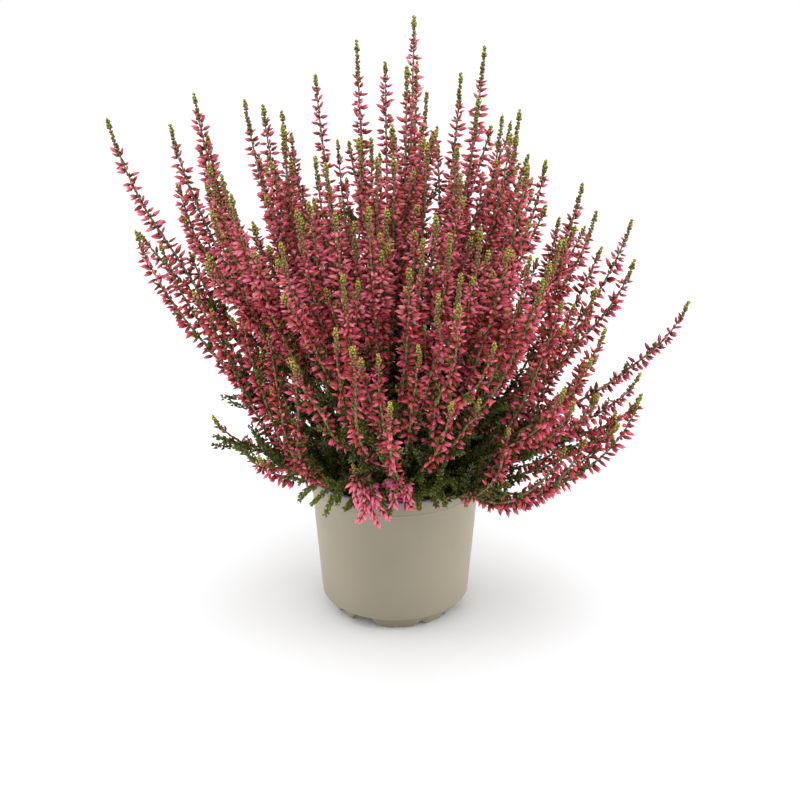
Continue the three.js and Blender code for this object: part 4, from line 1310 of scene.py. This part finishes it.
for tuft in range(TUFTS):
    angle = (tuft + 0.5) / TUFTS * math.tau - math.pi / 2
    foot = pointing(angle) * TUFT_FOOT
    leaves, twigs = Rows(), []
    trunk = np.array([[*foot[:2], SEAT_LEVEL], [*foot[:2], TRUNK_TOP]])
    for shoot in range(INNER_SHOOTS):
        at = angle + math.radians(rng.uniform(-36, 36))
        base = pointing(at) * rng.uniform(*INNER_STAND)
        base[2] = ROOT_LEVEL
        swing = at + math.radians(rng.normal(0, 60))
        start = pointing(swing, math.radians(rng.uniform(10, 50)))
        end = unit(start + UP * rng.uniform(-0.5, 0.3))
        shade = rng.uniform(*INNER_SHADE)
        length = rng.uniform(*INNER_LENGTH)
        side_shoot(leaves, twigs, base, start, end, length, (shade, shade + 0.12))
    for shoot in range(RIM_SHOOTS):
        at = angle + math.radians(rng.uniform(-37, 37))
        across = at + math.radians(rng.normal(0, 12))
        base = pointing(at) * rng.uniform(*RIM_STAND)
        base[2] = ROOT_LEVEL
        over = pointing(at) * rng.uniform(*RIM_CREST)
        over[2] = POT_HEIGHT + rng.uniform(3, 12)
        end = pointing(across) * rng.uniform(*RIM_REACH)
        end[2] = over[2] + rng.uniform(-15, 12)
        t = np.linspace(0, 1, 6)[:, None]
        knee = 2 * over - (base + end) / 2
        points = (1 - t) ** 2 * base + 2 * t * (1 - t) * knee + t ** 2 * end
        shade = rng.uniform(*RIM_SHADE)
        dress_shoot(leaves, twigs, points, (shade, shade + 0.06), ON_RIM_SHOOT)
    name = f"tuft_{tuft + 1}"
    radii = np.array([STEM_RADIUS, TRUNK_THIN])
    pieces = [(stems_piece(name, [(trunk, radii)], twigs), "stem")]
    bm = bmesh.new()
    bm.from_mesh(leaves.planted([needle], shade_rows))
    pieces.append((finished(bm, name + "_needles", leaf_green, smooth=False), "leaf"))
    for piece, kind in pieces:
        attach(piece, "root")
        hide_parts(name)

# ---- the studio
# A pale floor that runs out of sight, an even white surround, two soft lights from the
# sides and one from above, and the camera.

FLOOR_SIZE = 30
FLOOR_PAPER = (0.868, 0.88, 0.888, 1)
SOFT_LIGHTS = [
    # place, width and height, watts
    ((-1.5, 0.3, 0.13), (0.9, 0.22), 11),
    ((1.5, 0.2, 0.19), (0.9, 0.22), 13),
]
LIT_PLACE = Vector((0, 0, 0.13))
SUN_POWER = 1.15
SUN_WIDTH = math.radians(50)
SUN_TILT = math.radians(12)
CAMERA_PLACE = (0.0031, -0.650, 0.364)
CAMERA_DOWN = math.radians(19.1)
CAMERA_LENS = 49.275

paper = finish_of(
    "studio floor", Base_Color=FLOOR_PAPER, Roughness=0.9, Specular_IOR_Level=0.1
)[0]
bm = bmesh.new()
bmesh.ops.create_grid(bm, x_segments=1, y_segments=1, size=FLOOR_SIZE)
bmesh.ops.recalc_face_normals(bm, faces=bm.faces)
floor = finished(bm, "studio_floor", paper, smooth=False)

world = bpy.data.worlds.new("white surround")
world.use_nodes = True
surround = world.node_tree.nodes["Background"].inputs
surround["Color"].default_value = (1, 1, 1, 1)
surround["Strength"].default_value = 1.0
bpy.context.scene.world = world

overhead = bpy.data.lights.new("overhead light", "SUN")
overhead.energy = SUN_POWER
overhead.angle = SUN_WIDTH
lamp = bpy.data.objects.new("overhead light", overhead)
lamp.rotation_euler = (SUN_TILT, 0, 0)
bpy.context.scene.collection.objects.link(lamp)
for place, size, watts in SOFT_LIGHTS:
    light = bpy.data.lights.new("soft light", "AREA")
    light.shape = "RECTANGLE"
    light.size, light.size_y = size
    light.energy = watts
    lamp = bpy.data.objects.new("soft light", light)
    lamp.location = place
    lamp.rotation_euler = (LIT_PLACE - Vector(place)).to_track_quat("-Z", "Y").to_euler()
    bpy.context.scene.collection.objects.link(lamp)

camera = bpy.data.objects.new("camera", bpy.data.cameras.new("camera"))
camera.location = CAMERA_PLACE
camera.rotation_euler = (math.pi / 2 - CAMERA_DOWN, 0, 0)
camera.data.lens = CAMERA_LENS
camera.data.clip_end = 100
bpy.context.scene.collection.objects.link(camera)
bpy.context.scene.camera = camera
bpy.context.scene.view_settings.view_transform = "Standard"
